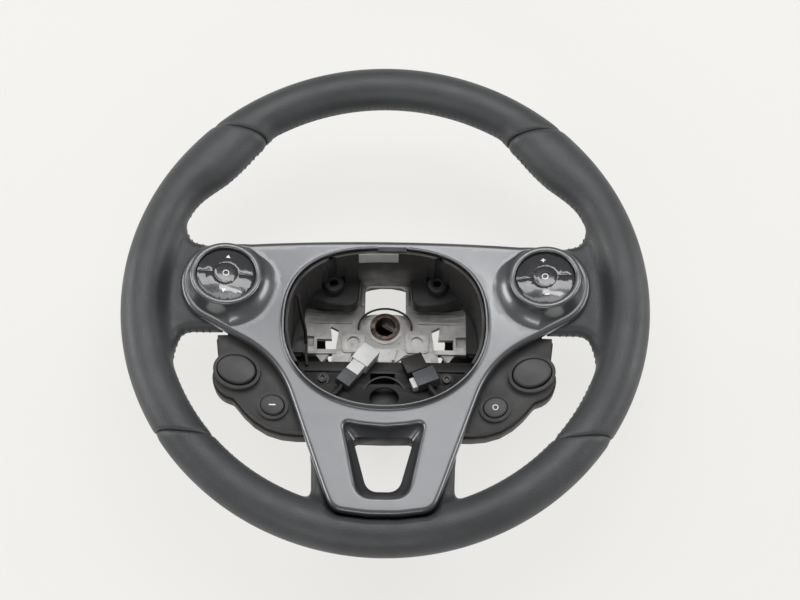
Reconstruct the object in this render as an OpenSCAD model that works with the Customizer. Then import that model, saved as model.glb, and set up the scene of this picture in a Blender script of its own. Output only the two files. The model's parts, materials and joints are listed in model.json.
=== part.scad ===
// Car steering wheel, lying face up. The hub's axis is Z, 12 o'clock is +Y, 3 o'clock is +X.
// Z = 0 is the hub's rear face. Millimetres and degrees.

/* [Rim] */
// Outer diameter of the rim
rim_d = 370; // [360:1:380]
// Thickness of the covered rim
rim_t = 30.4; // [29:0.2:32]
// Height of the rim's middle plane over the hub's rear face
dish = 78; // [76:1:84]
// Thickness of the leather
leather_t = 1.4; // [1:0.1:2]
// How far each thumb grip swells inward
grip_swell = 8.5; // [4:0.5:10]
// Place of the thumb grips, up from 3 and 9 o'clock
grip_angle = 41; // [38:1:44]
// Half the length of a thumb grip
grip_span = 16; // [12:1:18]
// Place of the upper seams, up from 3 and 9 o'clock
seam_up = 50; // [46:1:54]
// Place of the lower seams, down from 3 and 9 o'clock
seam_low = 38; // [34:1:42]
// How far a seam leans from the radius
seam_lean = 4.4; // [0:0.2:6]
// Depth of the groove at a seam
seam_tuck = 0.8; // [0.4:0.1:1]
// Radius of the casting's round ring inside the foam
core_r = 6; // [5:0.5:7]

/* [Side spokes] */
// Half width of the leather-covered spoke above the 3 o'clock line
stub_up = 39; // [36:0.5:41]
// Half width of the leather-covered spoke below the 3 o'clock line
stub_low = 25.6; // [24:0.2:27]
// Where the covered spoke starts, from the hub's axis
stub_x = 113; // [110:1:118]
// Thickness of the covered spoke
stub_t = 14; // [12:0.5:16]

/* [Bezel] */
// Height of the bezel's face over the rim's middle plane
face_rise = 6.5; // [5:0.5:8]
// Height of the bezel's straight top edge over the hub's axis
top_y = 41; // [40:0.5:42]
// How far the top edge drops at the pods
top_drop = 4; // [2:0.5:5]
// How far the bezel's foot stops short of the middle of the rim's section
foot_in = 10.3; // [8:0.1:12]
// How far the bezel's face rises toward its foot
foot_rise = 3; // [0:0.5:4]
// Rise of the leather's slope away from the bezel's foot, for each millimetre
seat_slope = 1; // [1:0.05:1.2]
// Wall of the bezel
bezel_t = 2.6; // [2:0.1:3]
// Radius of the bezel's rounded outer edge
edge_r = 4; // [3:0.5:5]
// Half width of the airbag opening
open_w = 69.5; // [67:0.5:71]
// Height of the airbag opening above its middle
open_up = 56.5; // [54:0.5:58]
// Height of the airbag opening below its middle
open_low = 59.5; // [58:0.5:61]
// How far the opening's middle is under the hub's axis
open_y = 24; // [23:0.5:25]
// Height of the raised lip round the airbag opening
lip_h = 4.5; // [3:0.5:6]
// Width of the lip's top
lip_w = 1.4; // [1:0.1:2]

/* [Pods] */
// Distance of each pod from the middle
pod_x = 110.4; // [109:0.2:112]
// Height of the pods over the hub's axis
pod_y = 9; // [8:0.2:10]
// Height of the keys over the rim's middle plane
pod_rise = 19.5; // [18:0.5:21]
// Radius of the bezel round a pod
pod_base_r = 32.4; // [31:0.2:34]
// Radius of the pod's ring
pod_ring_r = 24.4; // [24:0.1:25.5]
// Radius of the field of keys
key_field_r = 20.2; // [19:0.1:20.4]
// Radius of the middle key
key_mid_r = 8; // [7:0.1:9]
// Lean of a pod toward 12 o'clock
pod_lean = 7; // [4:0.5:9]
// Lean of a pod toward the middle
pod_turn = 6.5; // [4:0.5:9]
// Turn of the keys' dividing line
key_spin = 4; // [0:0.5:6]
// Gap round each key
key_gap = 0.35; // [0.3:0.05:0.5]
// Travel of a key
key_travel = 0.8; // [0.5:0.1:0.9]

/* [Lower switches] */
// Depth of the lower switch housings
low_depth = 19; // [17:0.5:21]
// Wall of the lower switch housings
low_wall = 1.8; // [1.5:0.1:2.2]
// How far their face is under the rim's middle plane
low_drop = 3; // [2:0.5:4]
// Half length of a rocker
rocker_a = 13.6; // [12.5:0.1:14]
// Half width of a rocker
rocker_b = 10.4; // [9.5:0.1:10.6]
// Slope of a rocker's long axis
rocker_slope = 18; // [12:1:24]
// Swing of a rocker to each side
rocker_swing = 3.5; // [2:0.5:4]
// Gap round a rocker
rocker_gap = 0.7; // [0.6:0.05:0.9]
// Radius of a rocker's pivot pin
pivot_r = 1.25; // [1:0.05:1.4]
// Half length of a small button
button_a = 8.4; // [8:0.1:8.8]
// Half width of a small button
button_b = 7.2; // [6.8:0.1:7.6]
// Travel of a small button
button_travel = 1; // [0.5:0.1:1.2]

/* [Lower spoke] */
// Half width of the window's mouth at its top
mouth_top = 28; // [27:0.5:29]
// Half width of the window's mouth at its foot
mouth_foot = 16.5; // [15:0.5:18]
// Half width of the window's throat at its top
throat_top = 21; // [20:0.5:22]
// Half width of the window's throat at its foot
throat_foot = 10.5; // [9:0.5:12]

/* [Hub] */
// Radius of the steering shaft's bore
bore_r = 7.6; // [7:0.1:8]
// Depth of the bore's plain end
pilot_d = 8; // [6:0.5:10]
// How much narrower the serrated part of the bore is
spline_step = 0.4; // [0.3:0.1:0.6]
// Radius of the steel sleeve
sleeve_r = 11; // [10:0.1:12]
// Radius of the casting's hub
hub_r = 13.4; // [13:0.1:15]
// Height of the hub
hub_h = 24; // [23:0.5:26]
// Number of serrations in the bore
serrations = 36; // [24:1:40]
// Depth of a serration
serration_d = 0.6; // [0.3:0.1:0.8]
// Thickness of the casting's plate
plate_t = 4.5; // [4:0.5:6]
// Distance of each airbag bushing from the middle
bushing_x = 37.4; // [36:0.2:39]
// Height of the bushings over the hub's axis
bushing_y = 23.2; // [23:0.2:24.4]
// Radius of a bushing
bushing_r = 7.2; // [6.8:0.1:7.6]
// Radius of a bushing's bore
bushing_bore = 2.9; // [2.5:0.1:3.2]

/* [Rear] */
// Inner radius of the rear cover's ring, round the steering column
ring_r = 45; // [42:1:47]
// Width of the ring that the wheel lies on
ring_w = 3.5; // [3:0.5:5]
// How far the ring stands behind the hub
ring_back = 8; // [6:0.5:10]
// Wall of the rear cover
rear_t = 2.2; // [1.8:0.1:2.6]

/* [Hidden] */
$fn = 64;

// Colours
col_leather = "#444648";
col_bezel = "#8c8f94";
col_black = "#1d1c1b";
col_dark = "#3b3936";
col_housing = "#4c4a47";
col_key = "#26262a";
col_cast = "#96928c";
col_steel = "#6f6660";
col_foam = "#5a5a50";
col_board = "#2f5a3a";
col_white = "#e6e6e2";
col_grey = "#5d5f62";
col_pale = "#b8b8b6";

// Gaps between fitted pieces
fit = 0.3;
seat = 0.2;
eps = 0.01;

// Rim
rim_r = rim_d / 2;
rim_mid = rim_r - rim_t / 2;
foot_y = rim_mid - foot_in;
spoke_end = rim_mid - 1.8;
sides = 12;
step = 5;
foam_in = leather_t + fit;
groove_reach = 4;
lean_reach = 12;

// Bezel heights
face_z = dish + face_rise;
lip_z = face_z + lip_h;
skirt_z = dish + 1.2;
stub_z = skirt_z - fit;
rays = 72;
pod_z = dish + pod_rise;

function lerp(a, b, t) = a + (b - a) * t;
function polar(r, a) = [r * cos(a), r * sin(a)];
function arc(c, r, a0, a1, n) = [for (i = [0:n]) c + polar(r, lerp(a0, a1, i / n))];
function unit(v) = v / norm(v);

// A polygon's corner [x, y, r] turned into an arc of n + 1 points
function corner(p, q, s, r, n) =
    let (u = unit([p[0] - q[0], p[1] - q[1]]), v = unit([s[0] - q[0], s[1] - q[1]]))
    let (half = acos(u * v) / 2, t = r / tan(half), c = [q[0], q[1]] + unit(u + v) * r / sin(half))
    let (a = [q[0], q[1]] + u * t - c, b = [q[0], q[1]] + v * t - c)
    let (a0 = atan2(a[1], a[0]), turn = atan2(b[1], b[0]) - a0)
    let (sweep = turn > 180 ? turn - 360 : turn < -180 ? turn + 360 : turn)
    [for (i = [0:n]) c + polar(r, a0 + sweep * i / n)];
function rounded(p, n = 5) = [
    for (i = [0:len(p) - 1])
        each (len(p[i]) < 3 || p[i][2] == 0
            ? [[p[i][0], p[i][1]]]
            : corner(p[(i + len(p) - 1) % len(p)], p[i], p[(i + 1) % len(p)], p[i][2], n))
];
function ellipse(c, a, b, turn = 0, n = 40) = [
    for (i = [0:n - 1]) let (t = 360 * i / n)
        c + [a * cos(t) * cos(turn) - b * sin(t) * sin(turn), a * cos(t) * sin(turn) + b * sin(t) * cos(turn)]
];

// Distance from c along direction d to the far side of a closed outline
function cross2(a, b) = a[0] * b[1] - a[1] * b[0];
function reach(outline, c, d) = max([
    for (i = [0:len(outline) - 1])
        let (p = outline[i] - c, e = outline[(i + 1) % len(outline)] - outline[i], k = cross2(d, e))
        let (t = k == 0 ? -1 : cross2(p, e) / k, s = k == 0 ? -1 : cross2(p, d) / k)
        s >= -0.001 && s <= 1.001 ? t : -1
]);

// A closed solid from a list of rings with equally many points, capped at both ends or closed on itself
module skin(rings, closed = false) {
    n = len(rings[0]);
    m = len(rings);
    last = closed ? m - 1 : m - 2;
    points = [for (r = rings) each r];
    walls = [
        for (j = [0:last], i = [0:n - 1])
            let (a = j * n, b = ((j + 1) % m) * n, k = (i + 1) % n)
            each [[a + i, b + k, b + i], [a + i, a + k, b + k]]
    ];
    caps = closed ? [] : [[for (i = [n - 1:-1:0]) i], [for (i = [0:n - 1]) (m - 1) * n + i]];
    polyhedron(points = points, faces = concat(walls, caps), convexity = 8);
}
module loft(low, z0, high, z1) {
    skin([[for (p = high) [p[0], p[1], z1]], [for (p = low) [p[0], p[1], z0]]]);
}
module slab(points, z0, z1) {
    translate([0, 0, z0]) linear_extrude(z1 - z0) polygon(points);
}
module both() {
    children();
    mirror([1, 0, 0]) children();
}

// Rim section: the thumb grips swell inward, and the seams lean and sink
function tent(d, reach) = max(0, 1 - abs(d) / reach);
function hump(d) = abs(d) < 1 ? pow(cos(90 * d), 2) : 0;
function swell(a) = grip_swell * (hump((a - grip_angle) / grip_span) + hump((a - 180 + grip_angle) / grip_span)
    + hump((a - 360 - grip_angle) / grip_span));
function lean(a) = seam_lean * (tent(a - 180 + seam_up, lean_reach) - tent(a - seam_up, lean_reach)
    - tent(a - 360 - seam_up, lean_reach) - tent(a - 180 - seam_low, lean_reach)
    + tent(a - 360 + seam_low, lean_reach));
function rim_ring(a, inset) =
    let (w = swell(a), ra = (rim_t + w) / 2 - inset, rb = rim_t / 2 + w / 8 - inset, c = rim_r - (rim_t + w) / 2)
    [for (k = [0:sides - 1])
        let (t = 360 * k / sides, r = c + ra * cos(t), b = a + lean(a) * cos(t))
        [r * cos(b), r * sin(b), dish + rb * sin(t)]];
function panel_angles(a0, a1) = concat(
    [a0, a0 + groove_reach / 2], [for (a = [ceil((a0 + groove_reach) / step) * step:step:a1 - groove_reach]) a],
    [a1 - groove_reach / 2, a1]);
module panel(a0, a1) {
    gap = asin(seat / rim_mid) / 2;
    list = panel_angles(a0 + gap, a1 - gap);
    last = len(list) - 1;
    skin([for (i = [0:last]) rim_ring(list[i], i == 0 || i == last ? seam_tuck : 0)]);
}
module panel_inside(a0, a1) {
    list = concat([a0 - 1], panel_angles(a0, a1), [a1 + 1]);
    skin([for (a = list) rim_ring(a, leather_t)]);
}

// The covered root of a side spoke, on the right
stub_outline = rounded([
    [stub_x, -stub_low + 1], [stub_x + 22, -stub_low + 1], [spoke_end - 26, -stub_low - 0.5, 8],
    [spoke_end - 18, -50, 12], [spoke_end - 13, -58], [spoke_end, -40], [spoke_end, 45], [spoke_end - 13.5, 60],
    [spoke_end - 22, 54, 12], [spoke_end - 30, 43, 10], [stub_x + 6, stub_up], [stub_x, stub_up]
]);
module stub(inset) {
    translate([0, 0, stub_z - stub_t + inset]) linear_extrude(stub_t - 2 * inset)
        intersection() {
            offset(delta = -inset) translate([inset > 0 ? -2 * inset : 0, 0]) polygon(stub_outline);
            translate([stub_x, -rim_r]) square([rim_mid - stub_x, 2 * rim_r]);
        }
}
module stub_inside() {
    translate([0, 0, stub_z - stub_t + leather_t]) linear_extrude(stub_t - 2 * leather_t)
        intersection() {
            offset(delta = -leather_t) union() {
                polygon(stub_outline);
                translate([stub_x - 5, -stub_low + 1]) square([8, stub_up + stub_low - 1]);
            }
            translate([stub_x - 1, -rim_r]) square([rim_mid - stub_x, 2 * rim_r]);
        }
}

module leather_top() color(col_leather) difference() {
    panel(seam_up, 180 - seam_up);
    panel_inside(seam_up, 180 - seam_up);
}
module leather_bottom() color(col_leather) difference() {
    panel(180 + seam_low, 360 - seam_low);
    difference() {
        panel_inside(180 + seam_low, 360 - seam_low);
        bezel_seat(leather_t);
    }
    bezel_seat(0);
    both() lower_arm(fit);
}
// Recess in the rim for the bezel's foot: level under it, and sloping up away from it
seat_turn = 20;
seat_out = 20;
function seat_ring(grow) = concat([[0, foot_from + 30]], [
    for (a = [270 - seat_turn:2:270 + seat_turn]) open_c + polar(reach(bezel_outline, open_c, polar(1, a)) + grow, a)
]);
module bezel_seat(grow) {
    side = fit + grow * (norm([1, seat_slope]) - 1) / seat_slope;
    loft(seat_ring(side), skirt_z - fit - grow, seat_ring(side + seat_out), skirt_z - fit - grow + seat_slope * seat_out);
}
module leather_left() color(col_leather) difference() {
    union() {
        panel(180 - seam_up, 180 + seam_low);
        mirror([1, 0, 0]) stub(0);
    }
    panel_inside(180 - seam_up, 180 + seam_low);
    mirror([1, 0, 0]) stub_inside();
}
module leather_right() color(col_leather) difference() {
    union() {
        panel(360 - seam_low, 360 + seam_up);
        stub(0);
    }
    panel_inside(360 - seam_low, 360 + seam_up);
    stub_inside();
}

module rim_foam() color(col_foam) difference() {
    union() {
        skin([for (a = [0:step:360 - step]) rim_ring(a, foam_in)], closed = true);
        both() foam_stub();
    }
    ring_core();
    both() side_arm();
    both() lower_arm();
    bezel_seat(foam_in);
}
module foam_stub() {
    inset = foam_in;
    translate([0, 0, stub_z - stub_t + inset]) linear_extrude(stub_t - 2 * inset)
        intersection() {
            offset(delta = -inset) union() {
                polygon(stub_outline);
                translate([stub_x - 5, -stub_low + 1]) square([8, stub_up + stub_low - 1]);
            }
            translate([stub_x, -rim_r]) square([rim_mid - stub_x, 2 * rim_r]);
        }
}

// Casting: hub, plate, arms and ring in one piece
plate_z = hub_h - 2;
plate_low = plate_z - plate_t;
rib_h = 2.2;
cast_outline = rounded([
    [0, 38.8], [19, 38.8, 6], [21, 17, 5], [66, 17], [66, -21], [51, -21], [46, -27.5, 1], [41, -21],
    [15, -21, 3], [8, -27, 2], [0, -27]
], 4);
cast_window = rounded([[15, 10], [15, 34.5, 5], [-15, 34.5, 5], [-15, 10]], 5);
cut_out = [[34, -2], [40, 1], [39, -9], [50, -9], [50, -17], [36, -17]];
pocket = [52, -15, 9, 8];
recess = [23.2, -11.6, 4.4, 2];
arm_from = 50;
leg_from = -16;
arm_top = [[arm_from, 22], [64, 24.5], [80, 42], [98, 67], [110, 74.5], [spoke_end - 18, 76.5], [spoke_end, 79]];
arm_under = [[spoke_end, 74.5], [spoke_end - 18, 71], [114, 68.5], [105, 66.5], [86, 40], [68, 17.5], [arm_from, 17.5]];
arm_plan = [
    [arm_from, -21], [66, -21], [110, -14], [spoke_end, -14], [spoke_end, 18], [110, 18], [66, 17], [arm_from, 17]
];
leg_top = [[leg_from, 22], [-34, 25], [-90, 57], [38 - spoke_end, 73], [-spoke_end, 80]];
leg_under = [[-spoke_end, 74], [38 - spoke_end, 66], [-93, 49], [-40, 17.5], [leg_from, 17.5]];
leg_plan = [
    [24, -18], [38, -18], [46.5, -93], [34, 18 - spoke_end], [34, -spoke_end], [25, -spoke_end],
    [25, 18 - spoke_end], [37, -95], [28, -40]
];
lift = dish - 78;
module side_arm(grow = 0) {
    intersection() {
        rotate([90, 0, 0]) linear_extrude(60, center = true)
            offset(delta = grow) polygon(lifted(concat(arm_top, arm_under), arm_from, spoke_end));
        translate([0, 0, 1]) linear_extrude(dish + rim_t) offset(delta = grow) polygon(arm_plan);
    }
}
module lower_arm(grow = 0) {
    intersection() {
        rotate([90, 0, 90]) linear_extrude(60)
            offset(delta = grow) polygon(lifted(concat(leg_top, leg_under), leg_from, -spoke_end));
        translate([0, 0, 1]) linear_extrude(dish + rim_t) offset(delta = grow) polygon(leg_plan);
    }
}
function lifted(p, from, to) = [for (q = p) [q[0], q[1] + lift * (q[0] - from) / (to - from)]];
module ring_core() {
    translate([0, 0, dish]) rotate_extrude($fn = 96) translate([rim_mid, 0]) circle(core_r, $fn = 32);
}
module armature() color(col_cast) difference() {
    union() {
        ring_core();
        both() side_arm();
        both() lower_arm();
        both() slab(cast_outline, plate_low, plate_z);
        // Hub and its flared foot
        cylinder(h = hub_h, r = hub_r);
        translate([0, 0, plate_z]) cylinder(h = 1.2, r1 = hub_r + 3, r2 = hub_r + 1);
        translate([0, 0, 6]) cylinder(h = plate_low - 6, r1 = hub_r, r2 = hub_r + 5);
        both() {
            // Raised pad with a drilled recess, and the ribs beside it
            slab(rounded([[14, -5, 2], [33, -4.4, 2], [31, -20, 2], [16, -20, 2]]), plate_z - eps, plate_z + 1.6);
            slab([[22, 9], [58, 9], [58, 10.6], [22, 10.6]], plate_z - eps, plate_z + 1.5);
            slab([[24, 3], [58, 3], [58, 4.6], [24, 4.6]], plate_z - eps, plate_z + 1.2);
            slab([[15.4, 17], [17.4, 17], [17.4, 37], [15.4, 37]], plate_z - eps, plate_z + rib_h);
            slab([[0, 35.4], [17, 35.4], [17, 37.4], [0, 37.4]], plate_z - eps, plate_z + rib_h);
            slab([[36, -21], [56, -21], [56, -19.4], [36, -19.4]], plate_z - eps, plate_z + 1.6);
            slab([[5, -26], [7, -26], [9, -17], [7, -17]], plate_z - eps, plate_z + rib_h);
        }
    }
    translate([0, 0, -1]) cylinder(h = hub_h + 2, r = sleeve_r);
    slab(cast_window, 0, dish);
    both() {
        slab(cut_out, 0, dish);
        translate([recess[0], recess[1], plate_z + 1.6 - recess[3]]) cylinder(h = 5, r = recess[2]);
        translate([pocket[0], pocket[1], plate_z - 2.5]) cube([pocket[2], pocket[3], 6]);
    }
}
module hub_sleeve() color(col_steel) difference() {
    union() {
        cylinder(h = hub_h, r = sleeve_r);
        translate([0, 0, hub_h]) cylinder(h = 0.8, r = sleeve_r - 1);
    }
    translate([0, 0, -1]) cylinder(h = pilot_d + 1, r = bore_r);
    translate([0, 0, -1]) cylinder(h = hub_h + 3, r = bore_r - spline_step);
    for (i = [0:serrations - 1])
        rotate([0, 0, 360 * i / serrations]) translate([bore_r - spline_step - 0.1, 0, pilot_d - 0.5])
            rotate([0, 0, 45]) translate([-serration_d / 2, -serration_d / 2, 0])
                cube([serration_d, serration_d, hub_h]);
}

// Bezel outline, right half from the top round to the foot
open_c = [0, -open_y];
pod_c = [pod_x, pod_y];
top_join = 56;
pod_tangent = -60;
bezel_half = rounded(concat(
    [for (x = [0:20:pod_x + 10]) [x, top_y - top_drop * pow(x / pod_x, 2)]],
    arc(pod_c, pod_base_r, top_join, pod_tangent, 12),
    [[73.4, -48.5, 70], [39.6, 17.5 - foot_y, 0], [33.5, -foot_y + 3, 11], [10, -foot_y, 0], [0, -foot_y, 0]]
));
bezel_outline = concat(bezel_half, [for (i = [len(bezel_half) - 2:-1:1]) [-bezel_half[i][0], bezel_half[i][1]]]);

// The airbag opening: flatter above its middle than below
flat_up = 2.6;
flat_low = 2.1;
lip_in = 3.5;
notch_x = 4.6;
notch_w = 21;
notch_d = 2;
function open_reach(a, grow = 0) =
    let (n = sin(a) > 0 ? flat_up : flat_low, h = (sin(a) > 0 ? open_up : open_low) + grow, w = open_w + grow)
    1 / pow(pow(abs(cos(a)) / w, n) + pow(abs(sin(a)) / h, n), 1 / n);
function open_outline(grow = 0, n = 72) = [for (i = [0:n - 1]) open_c + polar(open_reach(360 * i / n, grow), 360 * i / n)];

// Height of the face: level down to the opening's foot, then rising toward the bezel's foot
lip_foot = lip_w + 2;
level_y = open_low + open_y + lip_foot;
function face_at(y) = face_z + foot_rise * max(0, (-y - level_y) / (foot_y - level_y));

// One section of the bezel along a ray: [distance, height] pairs, round the wall
function bezel_section(a) =
    let (r0 = open_reach(a), r1 = reach(bezel_outline, open_c, polar(1, a)), top = face_at(r1 * sin(a) - open_y))
    [
        [r0, lip_z - lip_in], [r0, lip_z - 0.4], [r0 + 0.4, lip_z], [r0 + lip_w, lip_z - 0.2],
        [r0 + lip_w + 0.5, face_z + 0.8], [r0 + lip_foot, face_z],
        [r1 - edge_r, top], [r1 - edge_r * 0.38, top - edge_r * 0.22], [r1, top - edge_r * 0.9], [r1, skirt_z],
        [r1 - bezel_t, skirt_z], [r1 - bezel_t, top - edge_r], [r1 - edge_r - 1, top - bezel_t],
        [r0 + lip_w, face_z - bezel_t]
    ];
function bezel_ring(a) = [for (p = bezel_section(a)) [
    open_c[0] + p[0] * cos(a), open_c[1] + p[0] * sin(a), p[1]]];

mouth = rounded([
    [mouth_top, -93.5, 3], [16, -96], [0, -97.4], [-16, -96], [-mouth_top, -93.5, 3],
    [-mouth_foot, 12.5 - foot_y, 10], [mouth_foot, 12.5 - foot_y, 10]
]);
throat = rounded([
    [throat_top, -101.5, 3], [12, -101.8], [0, -102], [-12, -101.8], [-throat_top, -101.5, 3],
    [-throat_foot, 19.5 - foot_y, 8], [throat_foot, 19.5 - foot_y, 8]
]);
function grow_from(p, c, s) = [for (q = p) c + (q - c) * s];
window_c = [0, -121];
flange_s = 1.09;
flange_drop = 0.9;
throat_z = dish - 3;

module at_pod(side) {
    translate([side * pod_x, pod_y, pod_z]) rotate([-pod_lean, -side * pod_turn, 0]) rotate([0, 0, side * key_spin])
        children();
}
cup_r = pod_ring_r - 1.9;
flare = concat(
    [[cup_r + fit, -0.2], [cup_r + fit + 0.7, 0.3], [pod_ring_r - 0.5, 0.1], [pod_ring_r, -0.6]],
    [for (i = [0:6]) [pod_ring_r + 8.4 * (1 - cos(90 * i / 6)), -1.5 - 13 * sin(90 * i / 6)]],
    [[cup_r + fit, -14.5]]
);
module pod_flare(side) {
    intersection() {
        at_pod(side) rotate_extrude() polygon(flare);
        slab(bezel_outline, skirt_z, pod_z + 20);
    }
}
module front_bezel() color(col_bezel) difference() {
    union() {
        skin([for (i = [0:rays - 1]) bezel_ring(-360 * i / rays)], closed = true);
        pod_flare(1);
        pod_flare(-1);
        skin([
            [for (p = grow_from(mouth, window_c, flange_s)) [p[0], p[1], face_at(p[1]) - flange_drop]],
            [for (p = grow_from(throat, window_c, flange_s)) [p[0], p[1], throat_z]]
        ]);
    }
    loft(throat, throat_z - 1, mouth, face_z + 0.5);
    slab(mouth, face_z + 0.5 - eps, lip_z + foot_rise);
    for (side = [-1, 1])
        at_pod(side) translate([0, 0, -30]) cylinder(h = 60, r = cup_r + fit);
    // Notch at the top of the airbag opening
    translate([notch_x - notch_w / 2, open_up - open_y - 1, face_z - 2 * bezel_t]) cube([notch_w, notch_d + 1, 20]);
}
module window_liner() color(col_black) difference() {
    loft(grow_from(throat, window_c, flange_s), throat_z - 18, grow_from(throat, window_c, flange_s), throat_z - fit);
    loft(throat, throat_z - 19, throat, throat_z + 1);
}

// Rear cover, lofted from the ring round the column to the bezel's outline: flush with it above and below,
// inside the lower switch housings, and under the leather of the side spokes and the foot
rear_side_x = stub_x - 2.5;
rear_rays = 54;
rear_m = 2.4;
rear_steps = 6;
flush = 0.4;
leg_under_z = 67.5;
foot_from = -138;
function circle_reach(c, r, a) = let (d = polar(1, a), b = c * d) -b + sqrt(b * b - c * c + r * r);
function by_housing(p) = p[1] < -stub_low && p[1] > low_end_y && abs(p[0]) > 45;
function rear_reach(a) =
    let (r = reach(bezel_outline, open_c, polar(1, a)), p = open_c + polar(r, a))
    let (inside = r - (by_housing(p) ? bezel_t + 2.4 : flush), rim_clear = circle_reach(open_c, rim_r - rim_t - 1, a))
    min(inside, rim_clear, rear_side_x / max(abs(cos(a)), 0.01));
function rear_top(a) =
    let (p = open_c + polar(rear_reach(a), a))
    abs(p[0]) > rear_side_x - 0.1 ? stub_z - stub_t - fit : p[1] < foot_from ? leg_under_z : skirt_z - fit;
function rear_section(a) =
    let (r0 = circle_reach(open_c, ring_r, a), r1 = rear_reach(a), z0 = -ring_back, z1 = rear_top(a), w = ring_w)
    let (curve = [for (i = [1:rear_steps]) let (t = 90 * i / rear_steps)
        [lerp(r0 + w, r1, pow(sin(t), 2 / rear_m)), lerp(z1, z0, pow(cos(t), 2 / rear_m))]])
    concat(
        [[r0, z0], [r0 + w, z0]], curve,
        [for (i = [rear_steps - 1:-1:0]) [curve[i][0] - rear_t, curve[i][1] + (i == rear_steps - 1 ? 0 : rear_t)]],
        [[r0 + w - 1, z0 + rear_t], [r0, z0 + rear_t]]
    );
function rear_ring(a) = [for (p = rear_section(a)) [open_c[0] + p[0] * cos(a), open_c[1] + p[0] * sin(a), p[1]]];
module rear_cover() color(col_black) difference() {
    skin([for (i = [0:rear_rays - 1]) rear_ring(360 * i / rear_rays)], closed = true);
    slab(grow_from(throat, window_c, flange_s + 0.02), 0, dish);
}

// Upper carrier: the bowl wall inside the opening, with two pads for the bushings
bowl_gap = 0.6;
bowl_t = 2;
bowl_top = lip_z - 1.6;
bowl_low = 31;
pocket_top = 54;
pocket_r = bushing_r + 1.7;
channel_r = bushing_bore + 0.9;
channel_wall = 1.4;
channel_top = face_z - bezel_t - 0.5;
pad_z = 41.6;
pad_t = 2;
pad_y = 12;
pad_x = 20.5;
pad_foot = plate_z + rib_h + fit;
arch_y = 45;
bowl_foot = -52;
apron_x = 59;
pad_outline = rounded([
    [90, pad_y + 9], [64, pad_y + 4, 20], [46, pad_y, 12], [pad_x + 7, pad_y, 6], [pad_x, pad_y + 10, 3],
    [pad_x - 1, arch_y - 8, 6], [pad_x - 9, arch_y, 4], [0, arch_y], [0, 90], [90, 90]
]);
module bowl(grow) {
    polygon(open_outline(grow));
}
module pockets(r) {
    both() translate([bushing_x, bushing_y]) circle(r);
}
// The bowl's plan with its bushing pockets, set in by a distance
module bowl_plan(inset, pocket) {
    intersection() {
        union() {
            bowl(-inset);
            pockets(pocket);
        }
        translate([-90, bowl_foot]) square([180, 160]);
    }
}
module bowl_inner() {
    bowl(-bowl_gap - bowl_t);
}
module upper_carrier() color(col_black) difference() {
    union() {
        // Wall, with a pocket behind each bushing
        translate([0, 0, bowl_low]) linear_extrude(pocket_top - bowl_low) difference() {
            bowl_plan(bowl_gap, pocket_r + 1.4);
            bowl_inner();
            pockets(pocket_r);
        }
        translate([0, 0, pocket_top]) linear_extrude(bowl_t) difference() {
            bowl_plan(bowl_gap, pocket_r + 1.4);
            bowl_inner();
            pockets(channel_r);
        }
        // Upper wall, with a channel that guides a pin down to each bushing
        translate([0, 0, pocket_top]) linear_extrude(channel_top - pocket_top) difference() {
            bowl_plan(bowl_gap, channel_r + channel_wall);
            bowl_inner();
            pockets(channel_r);
        }
        translate([0, 0, channel_top - eps]) linear_extrude(bowl_top - channel_top + eps) difference() {
            bowl_plan(bowl_gap, 1);
            bowl_inner();
            pockets(channel_r);
        }
        // Pads and the skirts in front of them
        both() difference() {
            translate([0, 0, pad_foot]) linear_extrude(pad_z - pad_foot) intersection() {
                polygon(pad_outline);
                bowl_plan(bowl_gap + bowl_t / 2, pocket_r + 0.7);
            }
            translate([0, 0, plate_z - 1]) linear_extrude(pad_z - pad_t - plate_z + 1) intersection() {
                offset(delta = -bowl_t) polygon(concat(pad_outline, [[0, 90]]));
                bowl_plan(bowl_gap + bowl_t + 1, pocket_r - 1);
            }
        }
        // Bars beside the bushings
        both() translate([bushing_x + bushing_r - 2, bushing_y - 3, pad_z - eps]) cube([14, 6, 5]);
        // Aprons over the casting's arms
        both() slab([[apron_x, -24], [68, -24], [68, 17], [apron_x, 17]], bowl_low, bowl_low + bowl_t);
        both() slab([[apron_x, -24], [apron_x + 1.5, -24], [apron_x + 1.5, 17], [apron_x, 17]], 25, bowl_low + eps);
        // Tab in the bezel's notch
        translate([notch_x - notch_w / 2 + fit, open_up - open_y - bowl_gap - bowl_t / 2, lip_z - 6])
            cube([notch_w - 2 * fit, bowl_gap + bowl_t / 2 + notch_d - fit, 5.6]);
    }
    both() translate([bushing_x, bushing_y, 0]) cylinder(h = pad_z + 1, r = bushing_bore + 2 + seat);
    both() contact_space();
}
module contact_space() {
    translate([bushing_x, bushing_y, pad_z]) cylinder(h = 12, r = bushing_r + 1.5);
}
// A bushing stands on its contact ring, with its neck through the pad
bush_neck = bushing_bore + 2;
bush_foot = -6;
bush_top = 10.6;
bush_edge = 0.8;
contact_h = 1.8;
module bushing(side) {
    translate([side * bushing_x, bushing_y, pad_z]) rotate_extrude() polygon([
        [bushing_bore, bush_foot], [bush_neck, bush_foot], [bush_neck, contact_h], [bushing_r, contact_h],
        [bushing_r, bush_top - bush_edge], [bushing_r - bush_edge, bush_top], [bushing_bore, bush_top]
    ]);
}
module contact_ring(side) {
    translate([side * bushing_x, bushing_y, pad_z]) rotate_extrude() polygon([
        [bush_neck + seat, 0], [bushing_r + 1.2, 0], [bushing_r + 1.2, contact_h / 2],
        [bushing_r + 0.6, contact_h / 2], [bushing_r + 0.6, contact_h], [bush_neck + seat, contact_h]
    ]);
}
module left_bushing() color(col_grey) bushing(-1);
module right_bushing() color(col_grey) bushing(1);
module left_contact_ring() color(col_steel) contact_ring(-1);
module right_contact_ring() color(col_steel) contact_ring(1);
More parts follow.
